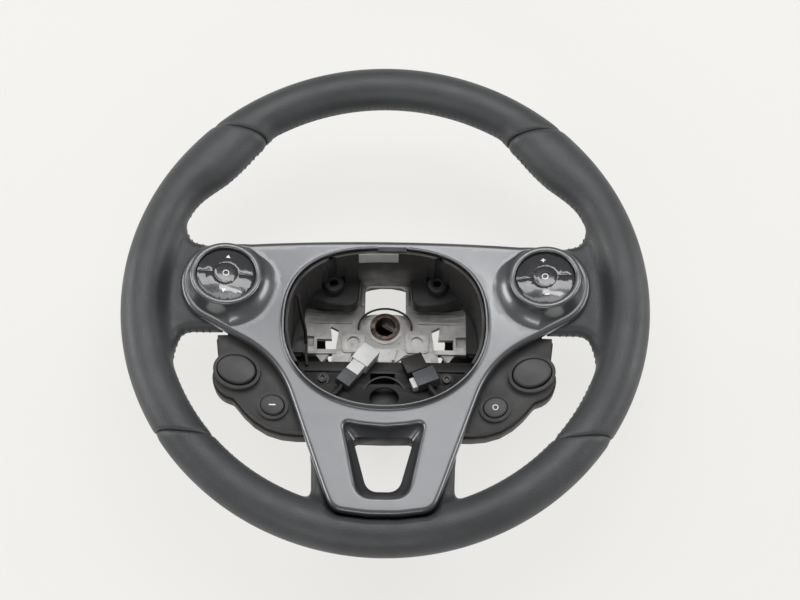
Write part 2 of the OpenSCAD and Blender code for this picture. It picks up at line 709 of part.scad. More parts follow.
// Label on the bowl's upper wall
label_in = bowl_gap + bowl_t + 0.05;
module blank_label() color(col_pale) translate([0, 0, lip_z - 15.5]) linear_extrude(13.5) intersection() {
    difference() {
        bowl(-label_in);
        bowl(-label_in - 0.4);
    }
    translate([-19, 0]) square([28, 60]);
}

// Retaining wire over the hub
wire_r = 0.8;
wire_a = 19.5;
wire_b = 14.8;
wire_z = plate_z + 4;
wire_route = concat(
    [[wire_a, -1, plate_z + 0.05]], [for (t = [0:12:180]) [wire_a * cos(t), wire_b * sin(t) - 1, wire_z]],
    [[-wire_a, -1, plate_z + 0.05]]
);
module retaining_wire() color(col_key) tube(wire_route, wire_r);

// Lower carrier: a bent plate that rises from the casting to the window
carrier_t = 2.2;
carrier_line = [[-29, 25.5], [-40, 28.5], [-50, 33], [-84, 55.5], [-92, 62]];
carrier_slope = atan2(22.5, 34);
carrier_profile = concat(carrier_line, [for (i = [len(carrier_line) - 1:-1:0]) carrier_line[i] + [0, carrier_t]]);
screw_x = 44.5;
screw_y = -45;
screw_z = 35.5;
module lower_carrier() color(col_dark) difference() {
    union() {
        intersection() {
            rotate([90, 0, 90]) linear_extrude(140, center = true) polygon(carrier_profile);
            translate([0, 0, 0]) linear_extrude(dish) intersection() {
                bowl(-bowl_gap - bowl_t - fit);
                translate([-90, -160]) square([180, 160 - 29]);
            }
        }
        both() translate([screw_x, screw_y, 29.5]) cylinder(h = screw_z - 29.5, r = 5);
        // Ribs
        both() intersection() {
            rotate([90, 0, 90]) translate([0, 0, 22]) linear_extrude(1.6)
                polygon(concat(carrier_line, [for (i = [len(carrier_line) - 1:-1:0]) carrier_line[i] + [0, 5]]));
            slab([[20, -78], [40, -78], [40, -62], [20, -62]], 0, dish);
        }
    }
    both() translate([screw_x, screw_y, 0]) cylinder(h = dish, r = 1.8);
    translate([-10.2, -48.5, 0]) cube([17.7, 9.7, dish]);
    translate([0, -62, 0]) cylinder(h = dish, r = 10.5);
    both() translate([24, -38.5, 0]) cube([34, 1.6, dish]);
    both() lower_arm(fit);
    for (route = [white_route, black_route])
        translate([route[len(route) - 1][0], route[len(route) - 1][1], 0]) cylinder(h = dish, r = lead_r + fit);
}
module carrier_screws() color(col_steel) both() translate([screw_x, screw_y, screw_z]) difference() {
    union() {
        cylinder(h = 2.2, r = 3.4);
        translate([0, 0, -8]) cylinder(h = 8 + eps, r = 1.7);
    }
    translate([0, 0, 1]) cylinder(h = 3, r = 1.5);
}

// Pod switches
deck_z = -7.6;
cup_foot = -12;
cup_t = 1.7;
key_t = 3.4;
stem_w = 3.6;
dome_r = 110;
mid_stem = [0, 0];
up_stem = [0, 14];
down_stem = [0, -14];
module pod_housing(side) {
    at_pod(side) difference() {
        union() {
            difference() {
                translate([0, 0, cup_foot]) cylinder(h = -cup_foot - 0.9, r = cup_r);
                translate([0, 0, cup_foot - 1]) cylinder(h = -cup_foot + 2, r = cup_r - cup_t);
            }
            translate([0, 0, deck_z]) cylinder(h = 1.6, r = cup_r - cup_t + eps);
        }
        for (p = [mid_stem, up_stem, down_stem])
            translate([p[0], p[1], deck_z]) cube([stem_w + 2 * fit, stem_w + 2 * fit, 6], center = true);
    }
}
module pod_board(side) {
    at_pod(side) {
        translate([0, 0, cup_foot]) cylinder(h = 1.2, r = cup_r - cup_t - seat);
        for (p = [mid_stem, up_stem, down_stem])
            translate([p[0], p[1], cup_foot + 1.2 - eps]) cylinder(h = 0.5, r = 2);
    }
}
module key_cap(side, part, stem) {
    at_pod(side) {
        intersection() {
            translate([0, 0, -key_t]) linear_extrude(key_t + 2) key_shape(part);
            translate([0, 0, -dome_r]) sphere(dome_r, $fn = 128);
        }
        translate([stem[0] - stem_w / 2, stem[1] - stem_w / 2, cup_foot + 1.7 + key_travel + 0.2])
            cube([stem_w, stem_w, -cup_foot - 1.7 - key_travel - key_t]);
    }
}
module key_shape(part) {
    if (part == 0) circle(key_mid_r);
    else difference() {
        circle(key_field_r);
        circle(key_mid_r + key_gap);
        translate([-30, part > 0 ? key_gap / 2 - 60 : -key_gap / 2]) square([60, 60]);
    }
}
module left_pod_housing() color(col_black) pod_housing(-1);
module right_pod_housing() color(col_black) pod_housing(1);
module left_pod_board() color(col_board) pod_board(-1);
module right_pod_board() color(col_board) pod_board(1);
module key_up() color(col_key) key_cap(-1, 1, up_stem);
module key_down() color(col_key) key_cap(-1, -1, down_stem);
module key_select() color(col_key) key_cap(-1, 0, mid_stem);
module key_plus() color(col_key) key_cap(1, 1, up_stem);
module key_minus() color(col_key) key_cap(1, -1, down_stem);
module key_voice() color(col_key) key_cap(1, 0, mid_stem);

// Lower switch housings, on the right and mirrored
low_top = dish - low_drop;
low_foot = low_top - low_depth;
rocker_c = [101.2, -56];
button_c = [75.8, -80.6];
low_end_y = -99.6;
low_outline = rounded(concat(
    [[60, -27], [111, -27], [118, -27.2, 2], [116, -42, 3]], arc(rocker_c, 18, 30, -62, 8),
    [[104, -74, 4], [96, -83.5, 6], [89, -90, 8], [80, -95.5, 8], [70, -98.6, 8], [60, low_end_y], [40, low_end_y]]
));
collar_h = 4.6;
collar_w = 3;
sleeve_h = 7;
rocker_rise = 2.2;
rocker_skirt = 8;
button_rise = 1.4;
collar_low = 2.6;
rocker_top = low_top + collar_h + rocker_rise;
pivot_z = rocker_top - 4.5;
module bezel_edge(inset) {
    offset(delta = -inset) polygon(bezel_outline);
}
module low_plan(inset) {
    difference() {
        offset(delta = -inset) polygon(low_outline);
        offset(delta = inset) bezel_edge(bezel_t + fit);
    }
}
module low_housing() {
    difference() {
        union() {
            translate([0, 0, low_foot]) linear_extrude(low_depth) low_plan(1.4);
            translate([0, 0, low_foot]) linear_extrude(low_depth * 0.55) low_plan(0);
            slab(ellipse(rocker_c, rocker_a + collar_w, rocker_b + collar_w, rocker_slope), low_top - eps, low_top + collar_h);
            slab(ellipse(button_c, button_a + 2.6, button_b + 2.6, rocker_slope), low_top - eps, low_top + collar_low);
        }
        difference() {
            translate([0, 0, low_foot - 1]) linear_extrude(low_depth + 1 - low_wall) low_plan(low_wall + 1.4);
            slab(ellipse(rocker_c, rocker_a + collar_w, rocker_b + collar_w, rocker_slope), low_top - sleeve_h, low_top);
            slab(ellipse(button_c, button_a + 2.6, button_b + 2.6, rocker_slope), low_top - sleeve_h, low_top);
        }
        slab(ellipse(rocker_c, rocker_a + rocker_gap, rocker_b + rocker_gap, rocker_slope), low_foot + 3, dish + 20);
        slab(ellipse(button_c, button_a + fit, button_b + fit, rocker_slope), low_foot + 3, dish + 20);
        pivot(pivot_r + 0.1, rocker_b + rocker_gap + 1.9);
    }
}
module pivot(r, half) {
    translate([rocker_c[0], rocker_c[1], pivot_z]) rotate([0, 0, rocker_slope]) rotate([90, 0, 0])
        cylinder(h = 2 * half, r = r, center = true, $fn = 32);
}
module low_board() {
    difference() {
        translate([0, 0, low_foot + 1]) linear_extrude(1.4) low_plan(low_wall + 1.4 + seat);
        translate([0, 0, low_foot]) cylinder(h = 1, r = 1);
    }
}
module rocker() {
    difference() {
        union() {
            slab(ellipse(rocker_c, rocker_a, rocker_b, rocker_slope), rocker_top - rocker_skirt, rocker_top - 0.8);
            loft(ellipse(rocker_c, rocker_a, rocker_b, rocker_slope), rocker_top - 0.8,
                ellipse(rocker_c, rocker_a - 0.9, rocker_b - 0.9, rocker_slope), rocker_top);
            pivot(pivot_r, rocker_b + rocker_gap + 1.6);
        }
        slab(ellipse(rocker_c, rocker_a - 1.6, rocker_b - 1.6, rocker_slope), 0, rocker_top - 2.2);
    }
    pivot(pivot_r, rocker_b);
}
button_top = low_top + collar_low + button_rise;
module small_button() {
    difference() {
        union() {
            slab(ellipse(button_c, button_a, button_b, rocker_slope), low_top - sleeve_h, button_top - 0.6);
            loft(ellipse(button_c, button_a, button_b, rocker_slope), button_top - 0.6,
                ellipse(button_c, button_a - 0.7, button_b - 0.7, rocker_slope), button_top);
        }
        slab(ellipse(button_c, button_a - 1.5, button_b - 1.5, rocker_slope), 0, button_top - 2);
    }
    translate([button_c[0], button_c[1], low_foot + 2.4 + button_travel + 0.5])
        cylinder(h = button_top - 2 - low_foot - 2.9 - button_travel + eps, r = 2, $fn = 24);
}
module left_lower_housing() color(col_housing) mirror([1, 0, 0]) low_housing();
module right_lower_housing() color(col_housing) low_housing();
module left_lower_board() color(col_board) mirror([1, 0, 0]) low_board();
module right_lower_board() color(col_board) low_board();
module left_rocker() color(col_key) mirror([1, 0, 0]) rocker();
module right_rocker() color(col_key) rocker();
module cancel_button() color(col_key) mirror([1, 0, 0]) small_button();
module resume_button() color(col_key) small_button();

// A round tube through the points of a route
function tube_ring(p, d, r, n) =
    let (w = unit(d), u = unit(cross(w, [0.31, 0.12, 0.94])), v = cross(u, w))
    [for (i = [0:n - 1]) p + r * (u * cos(360 * i / n) + v * sin(360 * i / n))];
module tube(route, r, n = 8) {
    last = len(route) - 1;
    skin([for (i = [0:last]) tube_ring(route[i], route[min(i + 1, last)] - route[max(i - 1, 0)], r, n)]);
}
harness_route = [
    [-61.4, 1, 78], [-60.8, -2, 66], [-59.4, -5, 52], [-57.6, -10, 39], [-57.2, -17, 32], [-57, -25, 30.8], [-56, -33, 30.6]
];
module left_harness() color(col_black) tube(harness_route, 1.3);

// Loose connectors and their short leads, tilted so that their tails lie on the lower carrier
white_c = [-14.2, -29.2, 36.2];
white_turn = -34.5;
white_tilt = -14;
module at_white() {
    translate(white_c) rotate([0, 0, white_turn]) rotate([white_tilt, 0, 0]) children();
}
module white_connector() color(col_white) at_white() difference() {
    translate([-6.8, -8, -5]) cube([13.6, 16, 10]);
    translate([-5.4, 6, -3.6]) cube([10.8, 4, 7.2]);
}
module white_latch() color(col_white) at_white() translate([-5, -17.5, -4]) cube([10, 9.5, 8]);
module white_lead_boot() color(col_grey) at_white() translate([-5.6, -29, -3.5]) cube([11.2, 11.5, 7]);
black_c = [21.6, -36, 37.6];
black_turn = 21.7;
black_tilt = -18;
module at_black() {
    translate(black_c) rotate([0, 0, black_turn]) rotate([black_tilt, 0, 0]) children();
}
module black_connector() color(col_key) at_black() difference() {
    translate([-7.8, -7, -5]) cube([15.6, 14, 10]);
    translate([-6.2, 5, -3.6]) cube([12.4, 4, 7.2]);
}
module grey_connector() color(col_grey) at_black() translate([-4.5, -20, -4]) cube([16, 13, 8]);
module connector_tab() color(col_white) at_black() translate([-8, -19, -3]) cube([3.5, 9, 5]);
lead_r = 1.8;
white_route = [
    [-30.6, -53.1, 43.4], [-31.8, -56, 44.6], [-34.8, -60.5, 47], [-39, -63, 48.8], [-43.4, -62, 48.4],
    [-45.5, -60.6, 46.4], [-46, -60, 43.4], [-46, -60, 38.5]
];
black_route = [
    [32.3, -53.1, 44.1], [33.6, -56.2, 45.4], [36.6, -60.6, 47.4], [40.4, -62.8, 48.8], [43.8, -62, 48.4],
    [45.5, -60.6, 46.4], [46, -60, 43.4], [46, -60, 38.5]
];
module white_lead() color(col_black) tube(white_route, lead_r);
module black_lead() color(col_black) tube(black_route, lead_r);

armature();
hub_sleeve();
rim_foam();
leather_top();
leather_left();
leather_bottom();
leather_right();
front_bezel();
window_liner();
rear_cover();
upper_carrier();
lower_carrier();
left_pod_housing();
right_pod_housing();
left_pod_board();
right_pod_board();
key_up();
key_down();
key_select();
key_plus();
key_minus();
key_voice();
left_lower_housing();
right_lower_housing();
left_lower_board();
right_lower_board();
left_rocker();
right_rocker();
cancel_button();
resume_button();
left_bushing();
right_bushing();
left_contact_ring();
right_contact_ring();
retaining_wire();
blank_label();
carrier_screws();
left_harness();
white_connector();
white_latch();
white_lead_boot();
white_lead();
black_connector();
grey_connector();
connector_tab();
black_lead();
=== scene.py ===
"""The looks of a car steering wheel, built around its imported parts. Millimetres until a mesh is made."""

import json
import math

import bmesh
import bpy
import numpy as np
from mathutils import Matrix, Vector
from mathutils.geometry import delaunay_2d_cdt


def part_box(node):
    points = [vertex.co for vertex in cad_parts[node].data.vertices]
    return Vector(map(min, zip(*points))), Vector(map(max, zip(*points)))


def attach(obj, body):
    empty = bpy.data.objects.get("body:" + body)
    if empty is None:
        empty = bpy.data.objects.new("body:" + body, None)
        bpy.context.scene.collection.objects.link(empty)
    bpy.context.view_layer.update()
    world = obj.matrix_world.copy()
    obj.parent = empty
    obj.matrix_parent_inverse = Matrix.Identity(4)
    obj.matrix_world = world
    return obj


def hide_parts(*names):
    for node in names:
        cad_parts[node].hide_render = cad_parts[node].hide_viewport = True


MM = 0.001
IMAGE_W = 800

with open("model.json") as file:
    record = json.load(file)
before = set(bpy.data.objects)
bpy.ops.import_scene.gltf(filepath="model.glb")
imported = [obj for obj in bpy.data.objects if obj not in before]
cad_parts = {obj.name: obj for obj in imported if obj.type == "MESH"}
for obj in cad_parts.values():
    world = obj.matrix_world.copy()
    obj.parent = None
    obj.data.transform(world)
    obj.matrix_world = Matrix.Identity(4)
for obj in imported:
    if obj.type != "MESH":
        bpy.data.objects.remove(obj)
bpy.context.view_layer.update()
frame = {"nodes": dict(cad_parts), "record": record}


# Sizes read from the frame, in millimetres
def reach_of(node, corner, axis):
    """One coordinate of a node's box: corner 0 is the lowest, 1 the highest."""
    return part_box(node)[corner][axis] / MM


RIM_R = reach_of("leather_right", 1, 0)
RIM_TOP = reach_of("leather_top", 1, 2)
RIM_LOW = reach_of("leather_top", 0, 2)
RIM_T = RIM_TOP - RIM_LOW
DISH = (RIM_TOP + RIM_LOW) / 2
CARRIER_DROP = 1.6
FACE_DROP = 4.5
LIP_Z = reach_of("upper_carrier", 1, 2) + CARRIER_DROP
FACE_Z = LIP_Z - FACE_DROP
TABLE_Z = reach_of("rear_cover", 0, 2)


# Camera, at the photograph's place: it looks at the rim's middle from below 6 o'clock
CAMERA_D = 1050.0
CAMERA_TILT = math.radians(23.649)
CAMERA_SIDE = math.radians(0.239)
CAMERA_ROLL = math.radians(0.779)
FOCAL_PX = 1497.6
SHIFT_X_PX = -14.71
SHIFT_Y_PX = -2.30
SENSOR = 36.0


def make_camera():
    place = CAMERA_D * Vector((
        math.sin(CAMERA_SIDE) * math.cos(CAMERA_TILT),
        -math.sin(CAMERA_TILT),
        math.cos(CAMERA_SIDE) * math.cos(CAMERA_TILT),
    ))
    forward = -place.normalized()
    right = forward.cross(Vector((0, 1, 0))).normalized()
    up = right.cross(forward)
    rolled = math.cos(CAMERA_ROLL) * right + math.sin(CAMERA_ROLL) * up
    upright = -math.sin(CAMERA_ROLL) * right + math.cos(CAMERA_ROLL) * up
    data = bpy.data.cameras.new("photo_camera")
    data.sensor_width = SENSOR
    data.lens = FOCAL_PX * SENSOR / IMAGE_W
    data.shift_x = -SHIFT_X_PX / IMAGE_W
    data.shift_y = SHIFT_Y_PX / IMAGE_W
    data.clip_start = 0.05
    data.clip_end = 50
    camera = bpy.data.objects.new("photo_camera", data)
    turn = Matrix((rolled, upright, -forward)).transposed().to_4x4()
    camera.matrix_world = Matrix.Translation((place + Vector((0, 0, DISH))) * MM) @ turn
    bpy.context.scene.collection.objects.link(camera)
    bpy.context.scene.camera = camera


# Materials
class Nodes:
    """A material's node tree, with one short call per node."""

    def __init__(self, name):
        self.material = bpy.data.materials.new(name)
        self.material.use_nodes = True
        self.tree = self.material.node_tree
        self.shader = self.tree.nodes["Principled BSDF"]
        self.place = self.node("ShaderNodeTexCoord").outputs["Object"]

    def feed(self, inputs, values):
        """Gives sockets an output to follow, a colour or a number."""
        for key, value in values.items():
            if isinstance(value, bpy.types.NodeSocket):
                self.tree.links.new(value, inputs[key])
            else:
                inputs[key].default_value = (*value, 1) if isinstance(value, tuple) else value

    def node(self, kind, sockets=None, **settings):
        made = self.tree.nodes.new(kind)
        for key, value in settings.items():
            setattr(made, key, value)
        self.feed(made.inputs, sockets or {})
        return made

    def set(self, **values):
        """Feeds the shader. An underscore stands for a space of a socket's name."""
        self.feed(self.shader.inputs, {key.replace("_", " "): v for key, v in values.items()})

    def noise(self, scale, detail=2.0, roughness=0.5, distortion=0.0):
        sockets = {"Vector": self.place, "Scale": scale, "Detail": detail, "Roughness": roughness}
        sockets["Distortion"] = distortion
        return self.node("ShaderNodeTexNoise", sockets).outputs["Fac"]

    def cells(self, scale, feature="F1"):
        sockets = {"Vector": self.place, "Scale": scale}
        return self.node("ShaderNodeTexVoronoi", sockets, feature=feature).outputs["Distance"]

    def ramp(self, fac, stops):
        """Values between (position, value) stops. A value is a colour or a number."""
        made = self.node("ShaderNodeValToRGB", {"Fac": fac})
        while len(made.color_ramp.elements) < len(stops):
            made.color_ramp.elements.new(0.5)
        for element, (at, colour) in zip(made.color_ramp.elements, stops):
            element.position = at
            element.color = (*(colour if isinstance(colour, tuple) else (colour,) * 3), 1)
        return made.outputs["Color"]

    def blend(self, fac, low, high):
        """The usual ramp, over the middle of a noise's values."""
        return self.ramp(fac, [(0.3, low), (0.7, high)])

    def mix(self, fac, a, b, blend="MIX"):
        """Inputs 0, 6 and 7 are the factor and the two colours, output 2 the mixed colour."""
        sockets = {0: fac, 6: a, 7: b}
        return self.node("ShaderNodeMix", sockets, data_type="RGBA", blend_type=blend).outputs[2]

    def math(self, operation, a, b):
        return self.node("ShaderNodeMath", {0: a, 1: b}, operation=operation).outputs[0]

    def bump(self, height, strength, distance, under=None):
        sockets = {"Height": height, "Strength": strength, "Distance": distance}
        if under is not None:
            sockets["Normal"] = under
        return self.node("ShaderNodeBump", sockets).outputs["Normal"]

    def finish(self, colour, rough, normal):
        self.set(Base_Color=colour, Roughness=rough, Normal=normal)
        return self.material


def srgb(r, g, b):
    """An 8-bit screen colour as linear values. All are above the curve's straight part."""
    return tuple(((v / 255 + 0.055) / 1.055) ** 2.4 for v in (r, g, b))


def shades(colour, low, high):
    """Two shades of one colour, for the ends of a ramp."""
    return tuple(c * low for c in colour), tuple(c * high for c in colour)


def leather_material():
    n = Nodes("leather")
    colour = n.blend(n.noise(28, 4, 0.6), *shades(srgb(60, 61, 62), 0.8, 1.16))
    pores = n.cells(900)
    creases = n.cells(430, "DISTANCE_TO_EDGE")
    folds = n.noise(160, 3, 0.6)
    grain = n.bump(n.ramp(creases, [(0.0, 0.0), (0.12, 1.0)]), 0.3, 0.00022)
    grain = n.bump(pores, 0.12, 0.00012, grain)
    grain = n.bump(folds, 0.12, 0.0008, grain)
    rough = n.blend(n.noise(60, 3), 0.4, 0.52)
    n.set(Sheen_Weight=0.04, Sheen_Roughness=0.4)
    return n.finish(colour, rough, grain)


def thread_material():
    n = Nodes("thread")
    dark, pale = shades(srgb(50, 50, 51), 0.7, 1.4)
    colour = n.ramp(n.noise(2600, 2), [(0.35, dark), (0.65, pale)])
    n.set(Sheen_Weight=0.3)
    rough = n.blend(n.noise(900), 0.5, 0.7)
    return n.finish(colour, rough, n.bump(n.noise(3000, 1), 0.4, 0.0002))


def silver_material():
    n = Nodes("silver_lacquer")
    flakes = n.cells(5200)
    base = n.blend(n.noise(18, 3, 0.55), *shades(srgb(101, 102, 104), 0.95, 1.04))
    colour = n.mix(0.1, base, n.ramp(flakes, [(0.2, 1.0), (0.7, 0.55)]), "MULTIPLY")
    n.set(Metallic=0.7, Coat_Weight=0.7, Coat_Roughness=0.12)
    rough = n.blend(n.noise(70, 4, 0.6), 0.29, 0.36)
    normal = n.bump(n.noise(2300, 2), 0.05, 0.0002)
    return n.finish(colour, rough, normal)


# Moulded plastics: name, screen colour, lowest and highest roughness, depth of the grain, dust and
# the grain's scale
MOULDED = {
    "foam": ("foam", (90, 90, 80), 0.8, 0.95, 0.5, 0.2, 700),
    "black_plastic": ("black_plastic", (42, 40, 39), 0.42, 0.6, 0.16, 0.1, 1500),
    "switch_housing": ("housing_plastic", (54, 52, 51), 0.48, 0.62, 0.22, 0.06, 1900),
    "satin_key": ("satin_black", (40, 40, 42), 0.34, 0.46, 0.08, 0.03, 2400),
    "white_plastic": ("white_plastic", (240, 240, 238), 0.36, 0.5, 0.05, 0.12, 1200),
    "grey_plastic": ("grey_plastic", (92, 94, 97), 0.4, 0.55, 0.1, 0.08, 1500),
    "label": ("label", (176, 176, 174), 0.4, 0.6, 0.03, 0.1, 1500),
    "mark": ("white_mark", (240, 240, 238), 0.35, 0.5, 0.03, 0.0, 1500),
}


def moulded_material(name, colour, rough_low, rough_high, grain, dust, scale):
    """Moulded plastic with a fine spark-eroded grain and a little dust."""
    n = Nodes(name)
    base = n.blend(n.noise(38, 4, 0.6), *shades(srgb(*colour), 0.82, 1.16))
    specks = n.ramp(n.noise(420, 3, 0.7), [(0.62, 0.0), (0.8, 1.0)])
    dusty = n.mix(n.math("MULTIPLY", specks, dust), base, srgb(140, 136, 128))
    rough = n.blend(n.noise(90, 3), rough_low, rough_high)
    return n.finish(dusty, rough, n.bump(n.noise(scale, 2, 0.6), grain, 0.0002))


def gloss_material():
    n = Nodes("gloss_black")
    n.set(Coat_Weight=0.9, Coat_Roughness=0.05, Specular_IOR_Level=0.55)
    smudge = n.ramp(n.noise(75, 5, 0.65, 0.6), [(0.35, 0.12), (0.75, 0.3)])
    colour = n.blend(n.noise(40, 2), *shades(srgb(38, 38, 42), 0.9, 1.1))
    return n.finish(colour, smudge, n.bump(n.noise(160, 2), 0.02, 0.0004))


def casting_material():
    n = Nodes("alloy_casting")
    dirt = srgb(92, 84, 74)
    greys = [(0.25, srgb(176, 174, 171)), (0.55, srgb(208, 206, 203)), (0.8, srgb(228, 227, 225))]
    base = n.ramp(n.noise(34, 6, 0.7, 0.4), greys)
    pits = n.ramp(n.noise(210, 4, 0.75), [(0.56, 0.0), (0.72, 1.0)])
    # Painted glints: small pale spots mixed into the colour stand in for highlights on the grainy metal
    painted_glints = n.ramp(n.cells(650), [(0.02, 1.0), (0.14, 0.0)])
    colour = n.mix(n.math("MULTIPLY", pits, 0.5), base, dirt)
    colour = n.mix(n.math("MULTIPLY", painted_glints, 0.5), colour, srgb(226, 224, 220))
    n.set(Metallic=0.2)
    normal = n.bump(n.noise(520, 4, 0.7), 0.35, 0.0004)
    normal = n.bump(n.noise(70, 3, 0.5), 0.25, 0.0012, normal)
    return n.finish(colour, n.blend(n.noise(120, 4), 0.36, 0.6), normal)


def steel_material():
    n = Nodes("rusty_steel")
    rust = n.ramp(n.noise(120, 6, 0.7, 0.5), [(0.42, 0.0), (0.62, 1.0)])
    colour = n.mix(rust, srgb(112, 104, 98), srgb(92, 66, 50))
    n.set(Metallic=0.55)
    rough = n.ramp(rust, [(0.0, 0.32), (1.0, 0.75)])
    return n.finish(colour, rough, n.bump(n.noise(700, 4), 0.3, 0.0003))


def dark_steel_material():
    n = Nodes("dark_steel")
    colour = n.blend(n.noise(180, 4, 0.6), srgb(46, 45, 44), srgb(78, 76, 74))
    n.set(Metallic=0.5)
    rough = n.blend(n.noise(300), 0.38, 0.55)
    return n.finish(colour, rough, n.bump(n.noise(800, 3), 0.15, 0.0002))


def board_material():
    n = Nodes("board")
    tracks = n.ramp(n.cells(520, "DISTANCE_TO_EDGE"), [(0.0, 1.0), (0.05, 0.0)])
    colour = n.mix(tracks, srgb(30, 72, 42), srgb(46, 98, 58))
    n.set(Coat_Weight=0.3)
    rough = n.blend(n.noise(200), 0.25, 0.4)
    return n.finish(colour, rough, n.bump(n.noise(900), 0.1, 0.0001))


def make_materials():
    made = {slot: moulded_material(*values) for slot, values in MOULDED.items()}
    return made | {
        "leather": leather_material(),
        "casting": casting_material(),
        "steel": steel_material(),
        "dark_steel": dark_steel_material(),
        "silver_trim": silver_material(),
        "gloss_key": gloss_material(),
        "board": board_material(),
        "thread": thread_material(),
    }


# Plane geometry, in millimetres and degrees
CORNER_STEPS = 8


def arc(centre, r, a0, a1, n):
    turns = [math.radians(a0 + (a1 - a0) * i / n) for i in range(n + 1)]
    return [np.add(centre, (r * math.cos(t), r * math.sin(t))) for t in turns]


def rounded(points):
    """A closed outline of (x, y, radius) corners, with each corner of a radius turned into an arc."""
    out = []
    for i, (x, y, *radius) in enumerate(points):
        q = np.array((x, y), float)
        if not radius:
            out.append(q)
            continue
        before = np.array(points[i - 1][:2], float) - q
        after = np.array(points[(i + 1) % len(points)][:2], float) - q
        u, v = before / np.linalg.norm(before), after / np.linalg.norm(after)
        half = math.acos(float(np.clip(u @ v, -1, 1))) / 2
        middle = (u + v) / np.linalg.norm(u + v)
        centre = q + middle * radius[0] / math.sin(half)
        a = q + u * radius[0] / math.tan(half) - centre
        b = q + v * radius[0] / math.tan(half) - centre
        a0 = math.degrees(math.atan2(a[1], a[0]))
        turn = (math.degrees(math.atan2(b[1], b[0])) - a0 + 180) % 360 - 180
        out += arc(centre, radius[0], a0, a0 + turn, CORNER_STEPS)
    return np.array(out)


def smoothed(points, passes):
    """A closed outline whose points move toward their neighbours."""
    for _ in range(passes):
        points = (np.roll(points, 1, axis=0) + 2 * points + np.roll(points, -1, axis=0)) / 4
    return points


def resampled(points, spacing, passes):
    """A closed outline with even spacing, slightly smoothed."""
    closed = np.vstack((points, points[:1]))
    gone = np.concatenate(([0], np.cumsum(np.linalg.norm(np.diff(closed, axis=0), axis=1))))
    count = round(gone[-1] / spacing)
    at = np.arange(count) * gone[-1] / count
    return smoothed(np.column_stack([np.interp(at, gone, closed[:, k]) for k in (0, 1)]), passes)


def grown(points, d):
    """A closed outline moved outward by d along its normals. The sum has the sign of its area."""
    along = np.roll(points, -1, axis=0) - np.roll(points, 1, axis=0)
    normal = np.column_stack((along[:, 1], -along[:, 0]))
    normal *= np.sign(np.sum(points * normal))
    return points + d * normal / np.linalg.norm(normal, axis=1)[:, None]


def outline_distance(x, y, outline):
    """Signed distance from points to a closed outline, negative inside."""
    best = np.full(x.shape, np.inf)
    inside = np.zeros(x.shape, bool)
    for (ax, ay), (bx, by) in zip(outline, np.roll(outline, -1, axis=0)):
        dx, dy = bx - ax, by - ay
        t = np.clip(((x - ax) * dx + (y - ay) * dy) / max(dx * dx + dy * dy, 1e-12), 0, 1)
        best = np.minimum(best, (x - ax - t * dx) ** 2 + (y - ay - t * dy) ** 2)
        crosses = (ay > y) != (by > y)
        if dy:
            inside ^= crosses & (x < ax + (y - ay) * dx / dy)
    return np.where(inside, -1, 1) * np.sqrt(best)


def soft_min(a, b, k):
    h = np.maximum(k - np.abs(a - b), 0) / k
    return np.minimum(a, b) - h * h * k / 4


def soft_max(a, b, k):
    return -soft_min(-a, -b, k)


def eased(t):
    t = np.clip(t, 0, 1)
    return t * t * (3 - 2 * t)


# Mesh helpers
def make_piece(name, points, faces, material, body="wheel", smooth=True, sharp=None):
    """A piece from points in millimetres, riding on a body. Edges over `sharp` degrees stay crisp."""
    mesh = bpy.data.meshes.new(name)
    mesh.from_pydata([tuple(p) for p in np.asarray(points, float) * MM], [], faces)
    mesh.validate()
    shape = bmesh.new()
    shape.from_mesh(mesh)
    bmesh.ops.recalc_face_normals(shape, faces=shape.faces)
    shape.to_mesh(mesh)
    shape.free()
    mesh.polygons.foreach_set("use_smooth", [smooth] * len(mesh.polygons))
    if sharp:
        mesh.set_sharp_from_angle(angle=math.radians(sharp))
    mesh.materials.append(material)
    piece = bpy.data.objects.new(name, mesh)
    bpy.context.scene.collection.objects.link(piece)
    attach(piece, body)
    return piece


class Build:
    """Points and faces of a mesh that grows ring by ring."""

    def __init__(self):
        self.points = []
        self.faces = []

    def ring(self, points):
        first = len(self.points)
        self.points += [tuple(map(float, p)) for p in points]
        return list(range(first, len(self.points)))

    def flat_ring(self, outline, z):
        heights = np.broadcast_to(z, len(outline))
        return self.ring(np.column_stack((outline, heights)))

    def bands(self, rings):
        """Joins each ring to the next. Gives the first and the last."""
        for low, high in zip(rings, rings[1:]):
            for i in range(len(low)):
                j = (i + 1) % len(low)
                self.faces.append((low[i], low[j], high[j], high[i]))
        return rings[0], rings[-1]

    def solid(self, rings):
        """Joins rings and closes the first and the last."""
        first, last = self.bands(rings)
        self.faces += [tuple(reversed(first)), tuple(last)]

    def sheet(self, edge, holes, extra, height):
        """Fills between an outer ring and holes, through extra points whose height y gives."""
        loops = [edge] + holes
        known = [i for loop in loops for i in loop]
        flat = [Vector(self.points[i][:2]) for i in known]
        sides = []
        for loop in loops:
            first = len(sides)
            sides += [(first + i, first + (i + 1) % len(loop)) for i in range(len(loop))]
        flat += [Vector(p) for p in extra]
        corners, _, triangles, origins, _, _ = delaunay_2d_cdt(flat, sides, [], 0, 1e-5)
        place = []
        for corner, origin in zip(corners, origins):
            old = [o for o in origin if o < len(known)]
            if old:
                place.append(known[old[0]])
            else:
                place.append(len(self.points))
                self.points.append((corner[0], corner[1], float(height(corner[1]))))
        middle = np.array([[sum(corners[i][k] for i in t) / 3 for k in (0, 1)] for t in triangles])
        outlines = [np.array([self.points[i][:2] for i in loop]) for loop in loops]
        keep = outline_distance(*middle.T, outlines[0]) < 0
        for hole in outlines[1:]:
            keep &= outline_distance(*middle.T, hole) > 0
        self.faces += [tuple(place[i] for i in t) for t, kept in zip(triangles, keep) if kept]


ROW_STEP = 0.866


